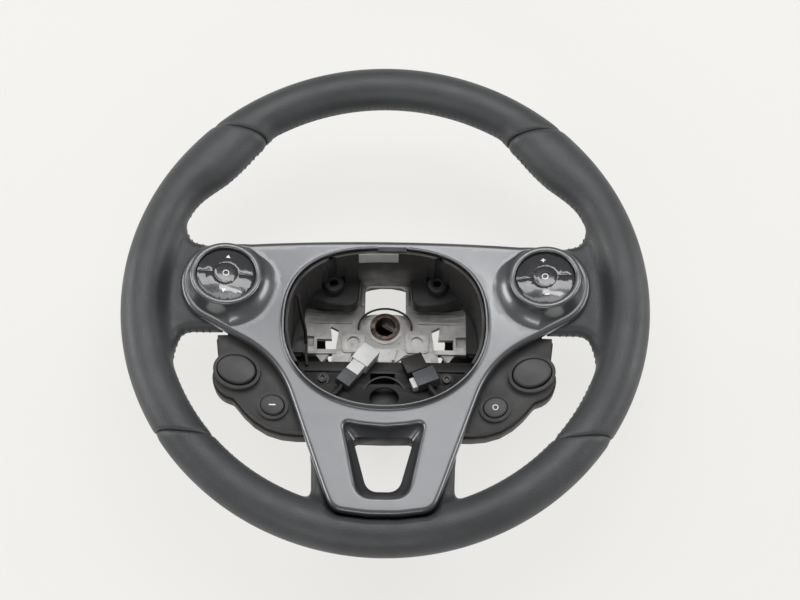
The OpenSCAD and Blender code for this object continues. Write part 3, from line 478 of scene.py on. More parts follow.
def grid_inside(edge, holes, spacing, margin):
    """Points of a staggered grid inside an outline and clear of its holes."""
    low, high = edge.min(axis=0), edge.max(axis=0)
    rows = np.arange(low[1], high[1], spacing * ROW_STEP)
    points = np.array([
        (x, row) for i, row in enumerate(rows)
        for x in np.arange(low[0] + (i % 2) * spacing / 2, high[0], spacing)
    ])
    keep = outline_distance(*points.T, edge) < -margin
    for hole in holes:
        keep &= outline_distance(*points.T, hole) > margin
    return points[keep]


# Leather rim: four panels between the seams. All but the top one are skins of a distance function
SWELL = 8.5
SWELL_AT = 41.0
SWELL_SPAN = 16.0
SEAMS = (50.0, 130.0, 218.0, 322.0)
SEAM_LEAN = (-4.4, 4.4, -4.4, 4.4)
LEAN_REACH = 12.0
SEAM_TUCK = 0.9
TUCK_REACH = 2.2
SEAM_GAP = 0.12
SEAM_ROUND = 1.6
PANELS = {
    "leather_top": SEAMS[:2],
    "leather_left": SEAMS[1:3],
    "leather_bottom": SEAMS[2:],
    "leather_right": (SEAMS[3] - 360, SEAMS[0]),
}
SKIN_VOXEL = 1.15
PULL_ROUNDS = 4
PULL_STEP = 0.05
PULL_MOST = 1.5
RIM_MID = RIM_R - RIM_T / 2
MM_PER_DEGREE = math.radians(RIM_MID)
STUB_TOP = DISH + 0.9
STUB_T = 14.0
STUB_EDGE = 6.4
STUB_BLEND = 8.0
STUB_CUT = 0.8
STUB_X = 113.0
STUB_OUT = RIM_MID - 1.8
STUB_OUTLINE = rounded([
    (STUB_X, -24.6), (135, -24.6), (STUB_OUT - 26, -26.1, 8), (STUB_OUT - 18, -50, 12), (STUB_OUT - 13, -58),
    (STUB_OUT, -40), (STUB_OUT, 45), (STUB_OUT - 13.5, 60), (STUB_OUT - 22, 54, 12), (STUB_OUT - 30, 43, 10),
    (119, 39), (STUB_X, 39),
])


def apart(a, b):
    """Signed difference of two directions, in degrees."""
    return (a - b + 180) % 360 - 180


def swell(a):
    """How much wider the section is at the two hand grips."""
    out = 0
    for middle in (SWELL_AT, 180 - SWELL_AT):
        d = np.clip(np.abs(apart(a, middle)) / SWELL_SPAN, 0, 1)
        out = out + SWELL * np.cos(np.pi / 2 * d) ** 2
    return out


def lean(a):
    """How far a section leans near a seam, in degrees."""
    near = [np.maximum(0, 1 - np.abs(apart(a, seam)) / LEAN_REACH) for seam in SEAMS]
    return sum(size * share for size, share in zip(SEAM_LEAN, near))


def tuck(a):
    """How far the leather sinks toward a seam."""
    gone = [apart(a, seam) * MM_PER_DEGREE / TUCK_REACH for seam in SEAMS]
    return sum(SEAM_TUCK * np.exp(-d ** 2) for d in gone)


def rim_half_axes(a):
    """Radius of a section's middle, and half its width and height."""
    w = swell(a)
    return RIM_R - (RIM_T + w) / 2, (RIM_T + w) / 2, RIM_T / 2 + w / 8


def rim_points(a, t, inset):
    """Places on the rim at direction a and angle t round its section, sunk by inset."""
    centre, wide, high = rim_half_axes(a)
    sunk = inset + tuck(a)
    r = centre + (wide - sunk) * np.cos(t)
    b = np.radians(a + lean(a) * np.cos(t))
    return np.stack((r * np.cos(b), r * np.sin(b), DISH + (high - sunk) * np.sin(t)), axis=-1)


def rim_distance(p):
    """Distance to the rim's surface, and the direction whose section a point belongs to."""
    b = np.degrees(np.arctan2(p[:, 1], p[:, 0]))
    rho = np.hypot(p[:, 0], p[:, 1])
    a = b
    for _ in range(3):
        centre, wide, high = rim_half_axes(a)
        u, v = (rho - centre) / wide, (p[:, 2] - DISH) / high
        k = np.maximum(np.hypot(u, v), 1e-6)
        a = b - lean(a) * u / k
    return (k - 1) * np.minimum(wide, high) + tuck(a), a


def slab_distance(x, y, z, outline, top, thick, edge):
    """Distance to a slab with rounded edges."""
    flat = outline_distance(x, y, outline) + edge
    tall = np.abs(z - top + thick / 2) - thick / 2 + edge
    out = np.hypot(np.maximum(flat, 0), np.maximum(tall, 0))
    return out + np.minimum(np.maximum(flat, tall), 0) - edge


def cut_at_seams(skin, a, panel):
    """A distance that ends at a panel's two seams, with a rounded edge."""
    start, end = PANELS[panel]
    over = (np.abs(apart(a, (start + end) / 2)) - (end - start) / 2) * MM_PER_DEGREE + SEAM_GAP
    return soft_max(skin, over, SEAM_ROUND)


def side_distance(p, side, panel):
    """Distance to a side panel: the rim and its covered spoke in one skin."""
    rim, a = rim_distance(p)
    x = p[:, 0] * side
    stub = slab_distance(x, p[:, 1], p[:, 2], STUB_OUTLINE, STUB_TOP, STUB_T, STUB_EDGE)
    whole = soft_min(rim, soft_max(stub, STUB_X - x, STUB_CUT), STUB_BLEND)
    return cut_at_seams(whole, a, panel)


def tube_rings(panel, degrees, sides):
    """Sections of a rim panel, closer together and sinking at its two rolled ends."""
    start, end = PANELS[panel]
    rolled = ((0.0, 1.7), (0.1, 1.0), (0.35, 0.45), (0.9, 0.12), (1.8, 0.0))
    ends = [(d / MM_PER_DEGREE, inset) for d, inset in rolled]
    gap = SEAM_GAP / MM_PER_DEGREE
    first, last = start + gap, end - gap
    inner = np.linspace(first + 1.0, last - 1.0, int((last - first) / degrees))
    stations = [(first + d, inset) for d, inset in ends] + [(a, 0.0) for a in inner]
    stations += [(last - d, inset) for d, inset in reversed(ends)]
    t = np.arange(sides) * 2 * np.pi / sides
    return [rim_points(a, t, inset) for a, inset in stations]


def tube_mesh(rings):
    build = Build()
    build.solid([build.ring(r) for r in rings])
    return build


def slab(outline, low, high):
    build = Build()
    build.solid([build.flat_ring(outline, low), build.flat_ring(outline, high)])
    return build


def scratch_object(name, points, faces):
    """An object for modifiers to work on, from points in millimetres. The next function removes it."""
    mesh = bpy.data.meshes.new(name)
    mesh.from_pydata([tuple(c * MM for c in p) for p in points], [], faces)
    made = bpy.data.objects.new(name, mesh)
    bpy.context.scene.collection.objects.link(made)
    return made


def result_of(made, *others):
    """Points in millimetres and faces of a scratch object with its modifiers."""
    done = made.evaluated_get(bpy.context.evaluated_depsgraph_get()).to_mesh()
    coords = np.empty(len(done.vertices) * 3)
    done.vertices.foreach_get("co", coords)
    faces = [tuple(f.vertices) for f in done.polygons]
    for scratch in (made, *others):
        bpy.data.objects.remove(scratch)
    return coords.reshape(-1, 3) / MM, faces


def remeshed(builds, voxel):
    """One skin round several closed meshes."""
    points, faces = [], []
    for build in builds:
        faces += [tuple(i + len(points) for i in f) for f in build.faces]
        points += build.points
    raw = scratch_object("raw_skin", points, faces)
    skin = raw.modifiers.new("skin", "REMESH")
    skin.mode = "VOXEL"
    skin.voxel_size = voxel * MM
    return result_of(raw)


def pulled_to(points, distance):
    """Moves points onto the surface where a distance is zero."""
    for _ in range(PULL_ROUNDS):
        here = distance(points)
        ahead = [distance(points + PULL_STEP * axis) for axis in np.eye(3)]
        slope = np.stack([(there - here) / PULL_STEP for there in ahead], axis=1)
        size = np.maximum(np.sum(slope * slope, axis=1), 0.05)
        move = -(here / size)[:, None] * slope
        far = np.linalg.norm(move, axis=1)
        points = points + move * np.minimum(1, PULL_MOST / np.maximum(far, 1e-9))[:, None]
    return points


def leather_skin(name, builds, distance, material):
    points, faces = remeshed(builds, SKIN_VOXEL)
    piece = make_piece(name, pulled_to(points, distance), faces, material)
    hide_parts(name)


def make_side_leather(name, side, material):
    rim = tube_mesh(tube_rings(name, 1.5, 48))
    stub = slab(STUB_OUTLINE[::side] * (side, 1), STUB_TOP - STUB_T, STUB_TOP)
    leather_skin(name, [rim, stub], lambda p: side_distance(p, side, name), material)


def make_top_leather(name, material):
    build = tube_mesh(tube_rings(name, 0.6, 96))
    piece = make_piece(name, build.points, build.faces, material)
    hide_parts(name)


# The bottom panel sinks under the bezel's foot and runs up beside it in two webs
FOOT_FLOOR = DISH + 0.9
FOOT_SLOPE = 2.2
WEB_T = 13.0
WEB_EDGE = 4.5
WEB_BLEND = 9.0
SEAT_BLEND = 3.0
SEAT_ROUND = 1.2
SEAT_SCALE = 0.8
FOAM_IN = 1.8
FOAM_SIDES = 48
FOAM_VOXEL = 2.2
WEB_OUTLINE = rounded([(54.2, -92), (49.6, -112), (48.4, -122, 20), (47.5, -150), (35, -150), (42, -92)])


def seat_height(p):
    """Floor under the bezel, whose outline is set with the bezel, and the slope beside it."""
    beside = np.maximum(outline_distance(p[:, 0], p[:, 1], BEZEL_OUTLINE), 0)
    return FOOT_FLOOR + FOOT_SLOPE * beside


def sunk_under(rings, sink=0.0):
    """Lowers the upper half of sections where they pass under the bezel's foot."""
    for ring in rings:
        low = soft_min(ring[:, 2], seat_height(ring) - sink, SEAT_BLEND)
        ring[:, 2] = np.where(ring[:, 2] > DISH, np.maximum(low, DISH - 2 - sink), ring[:, 2])
    return rings


def foot_distance(p, panel):
    """Distance to the bottom panel: the rim and its two webs, sunk under the foot."""
    rim, a = rim_distance(p)
    x = np.abs(p[:, 0])
    web = slab_distance(x, p[:, 1], p[:, 2], WEB_OUTLINE, FOOT_FLOOR, WEB_T, WEB_EDGE)
    over = (p[:, 2] - seat_height(p)) * SEAT_SCALE
    return cut_at_seams(soft_max(soft_min(rim, web, WEB_BLEND), over, SEAT_ROUND), a, panel)


def make_bottom_leather(name, material):
    rim = tube_mesh(sunk_under(tube_rings(name, 1.0, 64)))
    webs = [slab(WEB_OUTLINE[::side] * (side, 1), FOOT_FLOOR - WEB_T, FOOT_FLOOR) for side in (1, -1)]
    leather_skin(name, [rim] + webs, lambda p: foot_distance(p, name), material)


def make_foam(material):
    """The moulded foam just inside the leather, as one skin."""
    t = np.arange(FOAM_SIDES) * 2 * np.pi / FOAM_SIDES
    rings = sunk_under([rim_points(a, t, FOAM_IN) for a in np.arange(0, 360, 2.0)], FOAM_IN)
    build = Build()
    made = [build.ring(r) for r in rings]
    build.bands(made + [made[0]])
    core = grown(STUB_OUTLINE, -FOAM_IN)
    low, high = STUB_TOP - STUB_T + FOAM_IN, STUB_TOP - FOAM_IN
    stubs = [slab(core[::side] * (side, 1), low, high) for side in (1, -1)]
    points, faces = remeshed([build] + stubs, FOAM_VOXEL)
    piece = make_piece("rim_foam", points, faces, material)
    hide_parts("rim_foam")


# Stitching: pairs of slanted stitches along the seam inside the rim and round the covered spokes
STITCH_PITCH = 4.6
STITCH_LENGTH = 3.9
STITCH_R = 0.3
STITCH_SLANT = 0.55
STITCH_APART = 0.42
STITCH_SHARE = 0.8
STITCH_STEPS = 6
INNER_T = math.radians(186)
SEAM_RUNS = ((51, 129), (131, 157), (203, 217), (219, 321), (323, 337), (383, 409))
SPOKE_RUNS = ((-49, -24), (38, 53))


def stitch(build, middle, along, up):
    """A small rounded stitch that bows out of the leather."""
    across = np.cross(up, along)
    turns = [2 * math.pi * i / STITCH_STEPS for i in range(STITCH_STEPS)]
    ways = [math.cos(q) * across + math.sin(q) * up for q in turns]
    rings = []
    for k in range(STITCH_STEPS + 1):
        s = 2 * k / STITCH_STEPS - 1
        size = STITCH_R * math.sqrt(max(1 - s ** 4, 0.02))
        bow = up * STITCH_R * (0.4 - s * s)
        centre = middle + along * s * STITCH_LENGTH * STITCH_SHARE / 2 + bow
        rings.append(build.ring([centre + size * way for way in ways]))
    build.solid(rings)


def unit(v):
    return v / np.linalg.norm(v)


def stitches_along(build, places, normals):
    """Lays slanted pairs of stitches along a line of places with their outward normals."""
    gone = np.concatenate(([0], np.cumsum(np.linalg.norm(np.diff(places, axis=0), axis=1))))

    def between(values, at):
        return np.array([np.interp(at, gone, values[:, k]) for k in range(3)])

    for at in np.arange(STITCH_PITCH / 2, gone[-1], STITCH_PITCH):
        middle, up = between(places, at), unit(between(normals, at))
        along = unit(between(places, min(at + 1, gone[-1])) - between(places, max(at - 1, 0)))
        across = np.cross(up, along)
        for way in (-1, 1):
            slanted = unit(across + way * STITCH_SLANT * along)
            stitch(build, middle + across * way * STITCH_LENGTH * STITCH_APART, slanted * way, up)


def make_stitching(material):
    build = Build()
    for start, end in SEAM_RUNS:
        a = np.arange(start, end, 0.5)
        places = np.array([rim_points(v, np.array([INNER_T]), 0.1)[0] for v in a])
        inward = -places[:, :2] / np.hypot(places[:, 0], places[:, 1])[:, None]
        stitches_along(build, places, np.column_stack((inward, np.full(len(a), -0.1))))
    edge = resampled(STUB_OUTLINE, 1.0, 2)
    normal = grown(edge, 1) - edge
    x, y = edge[:, 0], edge[:, 1]
    for side, panel in ((1, "leather_right"), (-1, "leather_left")):
        for low_y, high_y in SPOKE_RUNS:
            keep = (y > low_y) & (y < high_y) & (x > STUB_X + 6) & (x < STUB_OUT - 14)
            line, out = edge[keep], normal[keep]
            order = np.argsort(line[:, 0])
            z = np.full(len(line), STUB_TOP - STUB_T * 0.55)
            places = np.column_stack((line[order] * (side, 1), z))
            normals = np.column_stack((out[order] * (side, 1), np.full(len(line), -0.15)))
            skin = pulled_to(places, lambda p: side_distance(p, side, panel))
            stitches_along(build, skin, normals)
    make_piece("rim_stitching", build.points, build.faces, material)


# Bezel: the silver face over the spokes, with the pods' flares, the opening's lip and the window
SKIRT_Z = DISH + 1.2
FOOT_Y = 159.5
FOOT_RISE = 3.0
LEVEL_Y = 86.9
BEZEL_T = 2.6
EDGE, EDGE_LEAST, EDGE_DEEP = 4.0, 1.8, 0.9
FOOT_BEVEL = 0.4
INNER_DROP = 3.9
UNDER_IN = 1.0
TURN_STEPS = 8
CROWN_Y, CROWN_FALL = 41, 4
FACE_GRID, FACE_MARGIN = 3.6, 1.0
OPEN_C = np.array((0.0, -24.0))
OPEN_W, OPEN_UP, OPEN_LOW = 69.5, 56.5, 59.5
FLAT_UP, FLAT_LOW = 2.6, 2.1
LIP_UNDER = 1.6
LIP_STEP = 0.75
LIP_RINGS = (
    (0.0, -3.5), (0.0, -0.6), (0.12, -0.22), (0.42, 0.0), (1.0, -0.03), (1.34, -0.24), (1.52, -0.7),
    (1.74, -3.3), (2.1, -4.05), (2.9, -4.4), (4.2, -4.5),
)
NOTCH_X, NOTCH_W, NOTCH_Y = 4.6, 21.0, 34.5
POD_X, POD_Y, POD_Z = 110.4, 9.0, DISH + 19.5
POD_LEAN, POD_TURN, POD_SPIN = 7.0, 6.5, 4.0
POD_BASE = 32.4
POD_OUT = 0.9
POD_HOLE = 22.8
POD_RING = 25.1
POD_PLAN = POD_RING * 0.986
POD_LIP = 20.75
POD_RINGS = (
    (POD_HOLE, -13), (POD_HOLE, -0.85), (POD_LIP, -0.8), (20.85, -0.4), (21.2, -0.05), (21.9, 0.24),
    (22.9, 0.34), (23.8, 0.2), (24.5, -0.2), (24.95, -0.8), (POD_RING, -1.5),
)
FLARE_STEPS = 12
FLARE_POWER = 1.35
FLARE_NEAR, FLARE_FAR = 28.6, 36.2
FLARE_TURN = math.radians(-42)
FLARE_FULL, FLARE_CLEAR = 0.85, 0.3
WINDOW_ROLL = 3.2
WINDOW_STEP = 1.2
THROAT_Z = DISH - 3
MOUTH = rounded([
    (28, -93.5, 3), (16, -96), (0, -97.4), (-16, -96), (-28, -93.5, 3), (-16.5, -147, 10), (16.5, -147, 10),
])
THROAT = rounded([
    (21, -101.5, 3), (12, -101.8), (0, -102), (-12, -101.8), (-21, -101.5, 3), (-10.5, -140, 8),
    (10.5, -140, 8),
])


def bezel_outline():
    half = [(x, CROWN_Y - CROWN_FALL * (x / POD_X) ** 2) for x in range(0, 121, 20)]
    half += [tuple(p) for p in arc((POD_X + POD_OUT, POD_Y), POD_BASE, 56, -60, 24)]
    half += [(73.4, -48.5, 70), (39.6, 17.5 - FOOT_Y), (33.5, 3 - FOOT_Y, 11), (10, -FOOT_Y), (0, -FOOT_Y)]
    right = rounded(half)
    return np.vstack((right, right[-2:0:-1] * (-1, 1)))


BEZEL_OUTLINE = bezel_outline()


def face_height(y):
    return FACE_Z + FOOT_RISE * np.maximum(0, (-y - LEVEL_Y) / (FOOT_Y - LEVEL_Y))


def open_reach(a):
    up = np.sin(a) > 0
    n = np.where(up, FLAT_UP, FLAT_LOW)
    high = np.where(up, OPEN_UP, OPEN_LOW)
    return ((np.abs(np.cos(a)) / OPEN_W) ** n + (np.abs(np.sin(a)) / high) ** n) ** (-1 / n)


def pod_axes(side):
    """The turn of a pod's own frame, as a matrix."""
    turns = ((-side * POD_TURN, "Y"), (-POD_LEAN, "X"), (side * POD_SPIN, "Z"))
    turn, tilt, roll = (np.array(Matrix.Rotation(math.radians(a), 3, axis)) for a, axis in turns)
    return turn @ tilt @ roll


def at_pod(side, points):
    """Moves points of a pod's own frame to their place on the wheel."""
    return np.asarray(points) @ pod_axes(side).T + (side * POD_X, POD_Y, POD_Z)


def edge_width(points):
    """Width of the rounded edge: narrower where a pod stands close to the outline."""
    near = np.hypot(np.abs(points[:, 0]) - POD_X, points[:, 1] - POD_Y)
    return np.clip(0.5 * (near - POD_PLAN), EDGE_LEAST, EDGE)


def bezel_edge_rings(build):
    """The skirt's wall, rounded into the face. Like the next three, gives the underside's loop and
    the face's."""
    base = resampled(BEZEL_OUTLINE, 1.25, 6)
    wide = edge_width(base)
    normal = base - grown(base, -1)

    def ring(inset, drop):
        flat = base - normal * inset[:, None]
        return build.flat_ring(flat, face_height(flat[:, 1]) - drop)

    rings = [
        ring(wide + UNDER_IN, BEZEL_T),
        ring(np.full(len(base), BEZEL_T), INNER_DROP),
        build.flat_ring(base - normal * BEZEL_T, SKIRT_Z),
        build.flat_ring(base - normal * FOOT_BEVEL, SKIRT_Z),
        build.flat_ring(base, SKIRT_Z + FOOT_BEVEL),
    ]
    for k in range(TURN_STEPS + 1):
        turn = math.radians(90 - 90 * k / TURN_STEPS)
        drop = EDGE_DEEP * wide * (1 - math.cos(turn))
        rings.append(ring(wide * (1 - math.sin(turn)), drop))
    return build.bands(rings)


def bezel_lip_rings(build):
    """The raised lip round the opening, with its notch at the top."""
    a = np.arange(0, 360, LIP_STEP) * math.pi / 180
    reach = open_reach(a)
    ray = np.column_stack((np.cos(a), np.sin(a)))
    rings = [build.flat_ring(OPEN_C + (reach + LIP_UNDER)[:, None] * ray, FACE_Z - BEZEL_T)]
    middle = OPEN_C + reach[:, None] * ray
    notched = (np.abs(middle[:, 0] - NOTCH_X) < NOTCH_W / 2) & (middle[:, 1] > 0)
    to_line = np.where(notched, (NOTCH_Y - OPEN_C[1]) / np.maximum(np.sin(a), 0.1), 0)
    for k, (out, rise) in enumerate(LIP_RINGS):
        r = np.maximum(reach + out, to_line)
        flat = OPEN_C + r[:, None] * ray
        z = LIP_Z + rise + face_height(flat[:, 1]) - FACE_Z
        step = FACE_Z - BEZEL_T * (1 - min(k / 6, 1))
        rings.append(build.flat_ring(flat, np.where(notched, np.minimum(z, step), z)))
    return build.bands(rings)


def bezel_window_rings(build):
    """The funnel of the window and its softly rolled mouth."""
    steps = np.linalg.norm(np.roll(MOUTH, -1, axis=0) - MOUTH, axis=1) / WINDOW_STEP
    count = [max(1, round(float(n))) for n in steps]

    def dense(outline):
        pairs = zip(outline, np.roll(outline, -1, axis=0), count)
        return smoothed(np.array([p + (q - p) * i / n for p, q, n in pairs for i in range(n)]), 5)

    mouth, throat = dense(MOUTH), dense(THROAT)
    normal = grown(mouth, 1) - mouth

    def ring(out, drop):
        flat = mouth + normal * out
        return build.flat_ring(flat, face_height(flat[:, 1]) - drop)

    low = throat * 0.45 + mouth * 0.55
    rings = [
        ring(WINDOW_ROLL + 0.4, BEZEL_T),
        build.flat_ring(grown(throat, 2), THROAT_Z),
        build.flat_ring(throat, THROAT_Z),
        build.flat_ring(low, THROAT_Z * 0.45 + (FACE_Z - WINDOW_ROLL) * 0.55),
    ]
    for k in range(TURN_STEPS + 1):
        turn = math.radians(90 * k / TURN_STEPS)
        out = WINDOW_ROLL * (1 - math.cos(turn)) - 0.5
        rings.append(ring(out, WINDOW_ROLL * (1 - math.sin(turn))))
    return build.bands(rings)


def bezel_pod_rings(build, side):
    """A pod's crest and the flare that leads it into the face."""
    a = np.arange(0, 360, 2) * math.pi / 180
    rings = []
    for r, h in POD_RINGS:
        section = np.column_stack((r * np.cos(a), r * np.sin(a), np.full(len(a), h)))
        rings.append(build.ring(at_pod(side, section)))
    crest = np.array([build.points[i] for i in rings[-1]])
    centre = np.array((side * POD_X, POD_Y))
    out = crest[:, :2] - centre
    crest_r = np.hypot(out[:, 0], out[:, 1])
    out = out / crest_r[:, None]
    room = np.array([ray_reach(BEZEL_OUTLINE, centre, d) for d in out]) - crest_r
    edge = np.clip(0.5 * room, EDGE_LEAST, EDGE)
    wide = np.array((-side * math.cos(FLARE_TURN), math.sin(FLARE_TURN)))
    toward = np.clip(out @ wide / FLARE_FULL, 0, 1)
    wanted = FLARE_NEAR + (FLARE_FAR - FLARE_NEAR) * eased(toward) - crest_r
    spread = np.minimum(wanted, room - edge - FLARE_CLEAR)
    for k in range(1, FLARE_STEPS + 1):
        turn = math.radians(90 * k / FLARE_STEPS)
        away, down = 1 - math.cos(turn) ** FLARE_POWER, math.sin(turn) ** FLARE_POWER
        flat = centre + out * (crest_r + spread * away)[:, None]
        foot = face_height(flat[:, 1])
        rings.append(build.flat_ring(flat, crest[:, 2] + (foot - crest[:, 2]) * down))
    return build.bands(rings)


def ray_reach(outline, origin, direction):
    """Distance from a point inside an outline to its far side along a direction."""
    p = outline - origin
    e = np.roll(outline, -1, axis=0) - outline
    k = direction[0] * e[:, 1] - direction[1] * e[:, 0]
    k = np.where(np.abs(k) < 1e-9, 1e-9, k)
    t = (p[:, 0] * e[:, 1] - p[:, 1] * e[:, 0]) / k
    s = (p[:, 0] * direction[1] - p[:, 1] * direction[0]) / k
    return float(np.max(np.where((s >= -0.001) & (s <= 1.001), t, 0)))


def make_bezel(material):
    build = Build()
    under_edge, face_edge = bezel_edge_rings(build)
    holes = [bezel_lip_rings(build), bezel_window_rings(build)]
    holes += [bezel_pod_rings(build, side) for side in (1, -1)]
    for edge, which, drop in ((face_edge, 1, 0), (under_edge, 0, BEZEL_T)):
        loops = [h[which] for h in holes]
        outlines = [np.array([build.points[i][:2] for i in loop]) for loop in [edge] + loops]
        extra = grid_inside(outlines[0], outlines[1:], FACE_GRID, FACE_MARGIN)
        build.sheet(edge, loops, extra, lambda y: face_height(y) - drop)
    piece = make_piece("front_bezel", build.points, build.faces, material, sharp=52)
    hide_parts("front_bezel")


# Marks on the keys: plain white signs that lie on each cap and move with it
DOME_R = 110.0
MARK_RISE = 0.05
MARK_Y = 13.8
RING_SIDES = 28
BUTTON_X, BUTTON_Y = 75.8, -80.6


def dome_height(x, y):
    return np.sqrt(DOME_R ** 2 - x * x - y * y) - DOME_R


def ring_shape(r, width):
    """A ring as one outline that runs round its outside and back round its inside."""
    outside = arc((0, 0), r, 0, 360, RING_SIDES)
    return np.vstack((outside, arc((0, 0), r - width, 360, 0, RING_SIDES)))


def bar(length, width):
    x, y = length / 2, width / 2
    return np.array([(-x, -y), (x, -y), (x, y), (-x, y)])


def cross(size, width):
    s, w = size / 2, width / 2
    right = [(w, -s), (w, -w), (s, -w), (s, w), (w, w), (w, s)]
    return np.array([(-w, -s)] + right + [(-w, s), (-w, w), (-s, w), (-s, -w), (-w, -w)])


def triangle(size, way):
    foot = -way * size * 0.4
    return np.array([(-size / 2, foot), (size / 2, foot), (0, way * size * 0.46)])[::way]


def make_mark(name, body, outline, place, material):
    """A thin raised sign. The place turns points of its own plane, and a height, into the frame."""
    build = Build()
    rings = [build.ring(place(outline, rise)) for rise in (-MARK_RISE, MARK_RISE)]
    if len(outline) > 2 * RING_SIDES:
        build.bands(rings)
        for loop, way in zip(rings, (-1, 1)):
            for i in range(RING_SIDES):
                face = (loop[i], loop[i + 1], loop[-2 - i], loop[-1 - i])
                build.faces.append(face[::way])
    else:
        build.solid(rings)
    make_piece(name, build.points, build.faces, material, body=body, smooth=False)


def on_pod(side, y):
    def place(outline, rise):
        across, up = outline[:, 0], outline[:, 1] + y
        return at_pod(side, np.column_stack((across, up, dome_height(across, up) + rise)))
    return place


def on_button(side):
    top = reach_of("cancel_button", 1, 2)

    def place(outline, rise):
        flat = outline + (side * BUTTON_X, BUTTON_Y)
        return np.column_stack((flat, np.full(len(flat), top + rise)))
    return place


def make_marks(material):
    for name, body, outline, place in (
        ("up_mark", "key_up", triangle(3.1, 1), on_pod(-1, MARK_Y)),
        ("down_mark", "key_down", triangle(3.1, -1), on_pod(-1, -MARK_Y)),
        ("select_mark", "key_select", ring_shape(2.3, 0.55), on_pod(-1, 0)),
        ("plus_mark", "key_plus", cross(3.2, 0.75), on_pod(1, MARK_Y)),
        ("minus_mark", "key_minus", bar(3.2, 0.75), on_pod(1, -MARK_Y)),
        ("voice_mark", "key_voice", ring_shape(2.3, 0.55), on_pod(1, 0)),
        ("cancel_mark", "cancel_button", bar(4.6, 0.8), on_button(-1)),
        ("resume_mark", "resume_button", ring_shape(2.0, 0.5), on_button(1)),
    ):
        make_mark(name, body, outline, place, material)


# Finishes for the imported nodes: rounded edges where a width is given, and the material of the
# node's slot or of OTHER_FINISH
EDGE_WIDTHS = {node: width for width, nodes in {
    0.7: "armature left_lower_housing right_lower_housing left_rocker right_rocker",
    0.5: "cancel_button resume_button rear_cover",
    0.45: "upper_carrier",
    0.4: "lower_carrier white_lead_boot",
    0.3: "left_pod_housing right_pod_housing white_connector black_connector grey_connector"
         " left_bushing right_bushing hub_sleeve window_liner",
    0.2: "white_latch carrier_screws",
    0.15: "connector_tab",
    0.09: "key_up key_down key_select key_plus key_minus key_voice",
}.items() for node in nodes.split()}
OTHER_FINISH = {
    "carrier_screws": "dark_steel", "left_contact_ring": "dark_steel", "right_contact_ring": "dark_steel",
    "retaining_wire": "dark_steel", "lower_carrier": "switch_housing",
}
WELD_M = 0.00001
FLAT_ANGLE = math.radians(1.5)
EDGE_ANGLE = math.radians(34)


def add_weld(thing):
    thing.modifiers.new("weld", "WELD").merge_threshold = WELD_M


def soften(shown, width):
    """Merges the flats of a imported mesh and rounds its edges, without touching the mesh itself."""
    add_weld(shown)
    flats = shown.modifiers.new("flats", "DECIMATE")
    flats.decimate_type = "DISSOLVE"
    flats.angle_limit = FLAT_ANGLE
    edge = shown.modifiers.new("edge", "BEVEL")
    edge.width = width * MM
    edge.segments = 2
    edge.limit_method = "ANGLE"
    edge.angle_limit = EDGE_ANGLE
    edge.harden_normals = True
    edge.use_clamp_overlap = True
    shown.data.polygons.foreach_set("use_smooth", [True] * len(shown.data.polygons))


def dress_nodes(materials):
    """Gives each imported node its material, and its rounded edges."""
    for part in frame["record"]["subparts"]:
        node = part["node"]
        shown = frame["nodes"][node]
        shown.data.materials.clear()
        shown.data.materials.append(materials[OTHER_FINISH.get(node, part["material_slot"])])
        if node in EDGE_WIDTHS:
            soften(shown, EDGE_WIDTHS[node])


# Cavity: the dark pads under the bushings and the wells behind the holes of the lower carrier
PAD_TOP = reach_of("left_bushing", 1, 2) - 9.4
PAD_LOW = 31.0
PAD_EDGE = 1.4
PAD_STEPS = 4
PAD_OUTLINE = rounded([
    (62, 30), (62, 19), (52, 14), (44, 10.5, 10), (30, 8.6, 14), (19.6, 9.4, 7), (18.6, 24, 6), (17.4, 44),
    (40, 38),
])
WELL_WALL = 1.2


def make_pads(material):
    build = Build()
    for side in (1, -1):
        outline = PAD_OUTLINE[::side] * (side, 1)
        rings = [build.flat_ring(outline, PAD_LOW)]
        for k in range(PAD_STEPS + 1):
            turn = math.radians(90 * k / PAD_STEPS)
            upper = grown(outline, -PAD_EDGE * (1 - math.cos(turn)))
            rings.append(build.flat_ring(upper, PAD_TOP - PAD_EDGE * (1 - math.sin(turn))))
        build.solid(rings)
    make_piece("bushing_pads", build.points, build.faces, material, sharp=40)


def make_wells(material):
    """Shallow boxes that are open above, from an outline and the heights of its floor and rim."""
    build = Build()
    for inner, low, high in (
        (np.array([(-14, -53), (12, -53), (12, -35), (-14, -35)]), 19, 28),
        (np.array(arc((0, -60), 15.5, 0, 350, 35)), 26, 37),
    ):
        outer = grown(inner, WELL_WALL)
        levels = ((outer, low), (outer, high), (inner, high), (inner, low + WELL_WALL))
        build.solid([build.flat_ring(outline, z) for outline, z in levels])
    make_piece("carrier_wells", build.points, build.faces, material, sharp=35)


# Rear cover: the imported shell, with the light's way through the window widened along the driver's view
TUNNEL_DRIFT = 27.0
TUNNEL_ROOM = 1.6
TUNNEL_BELOW = 3
TUNNEL_TOP = DISH - 4


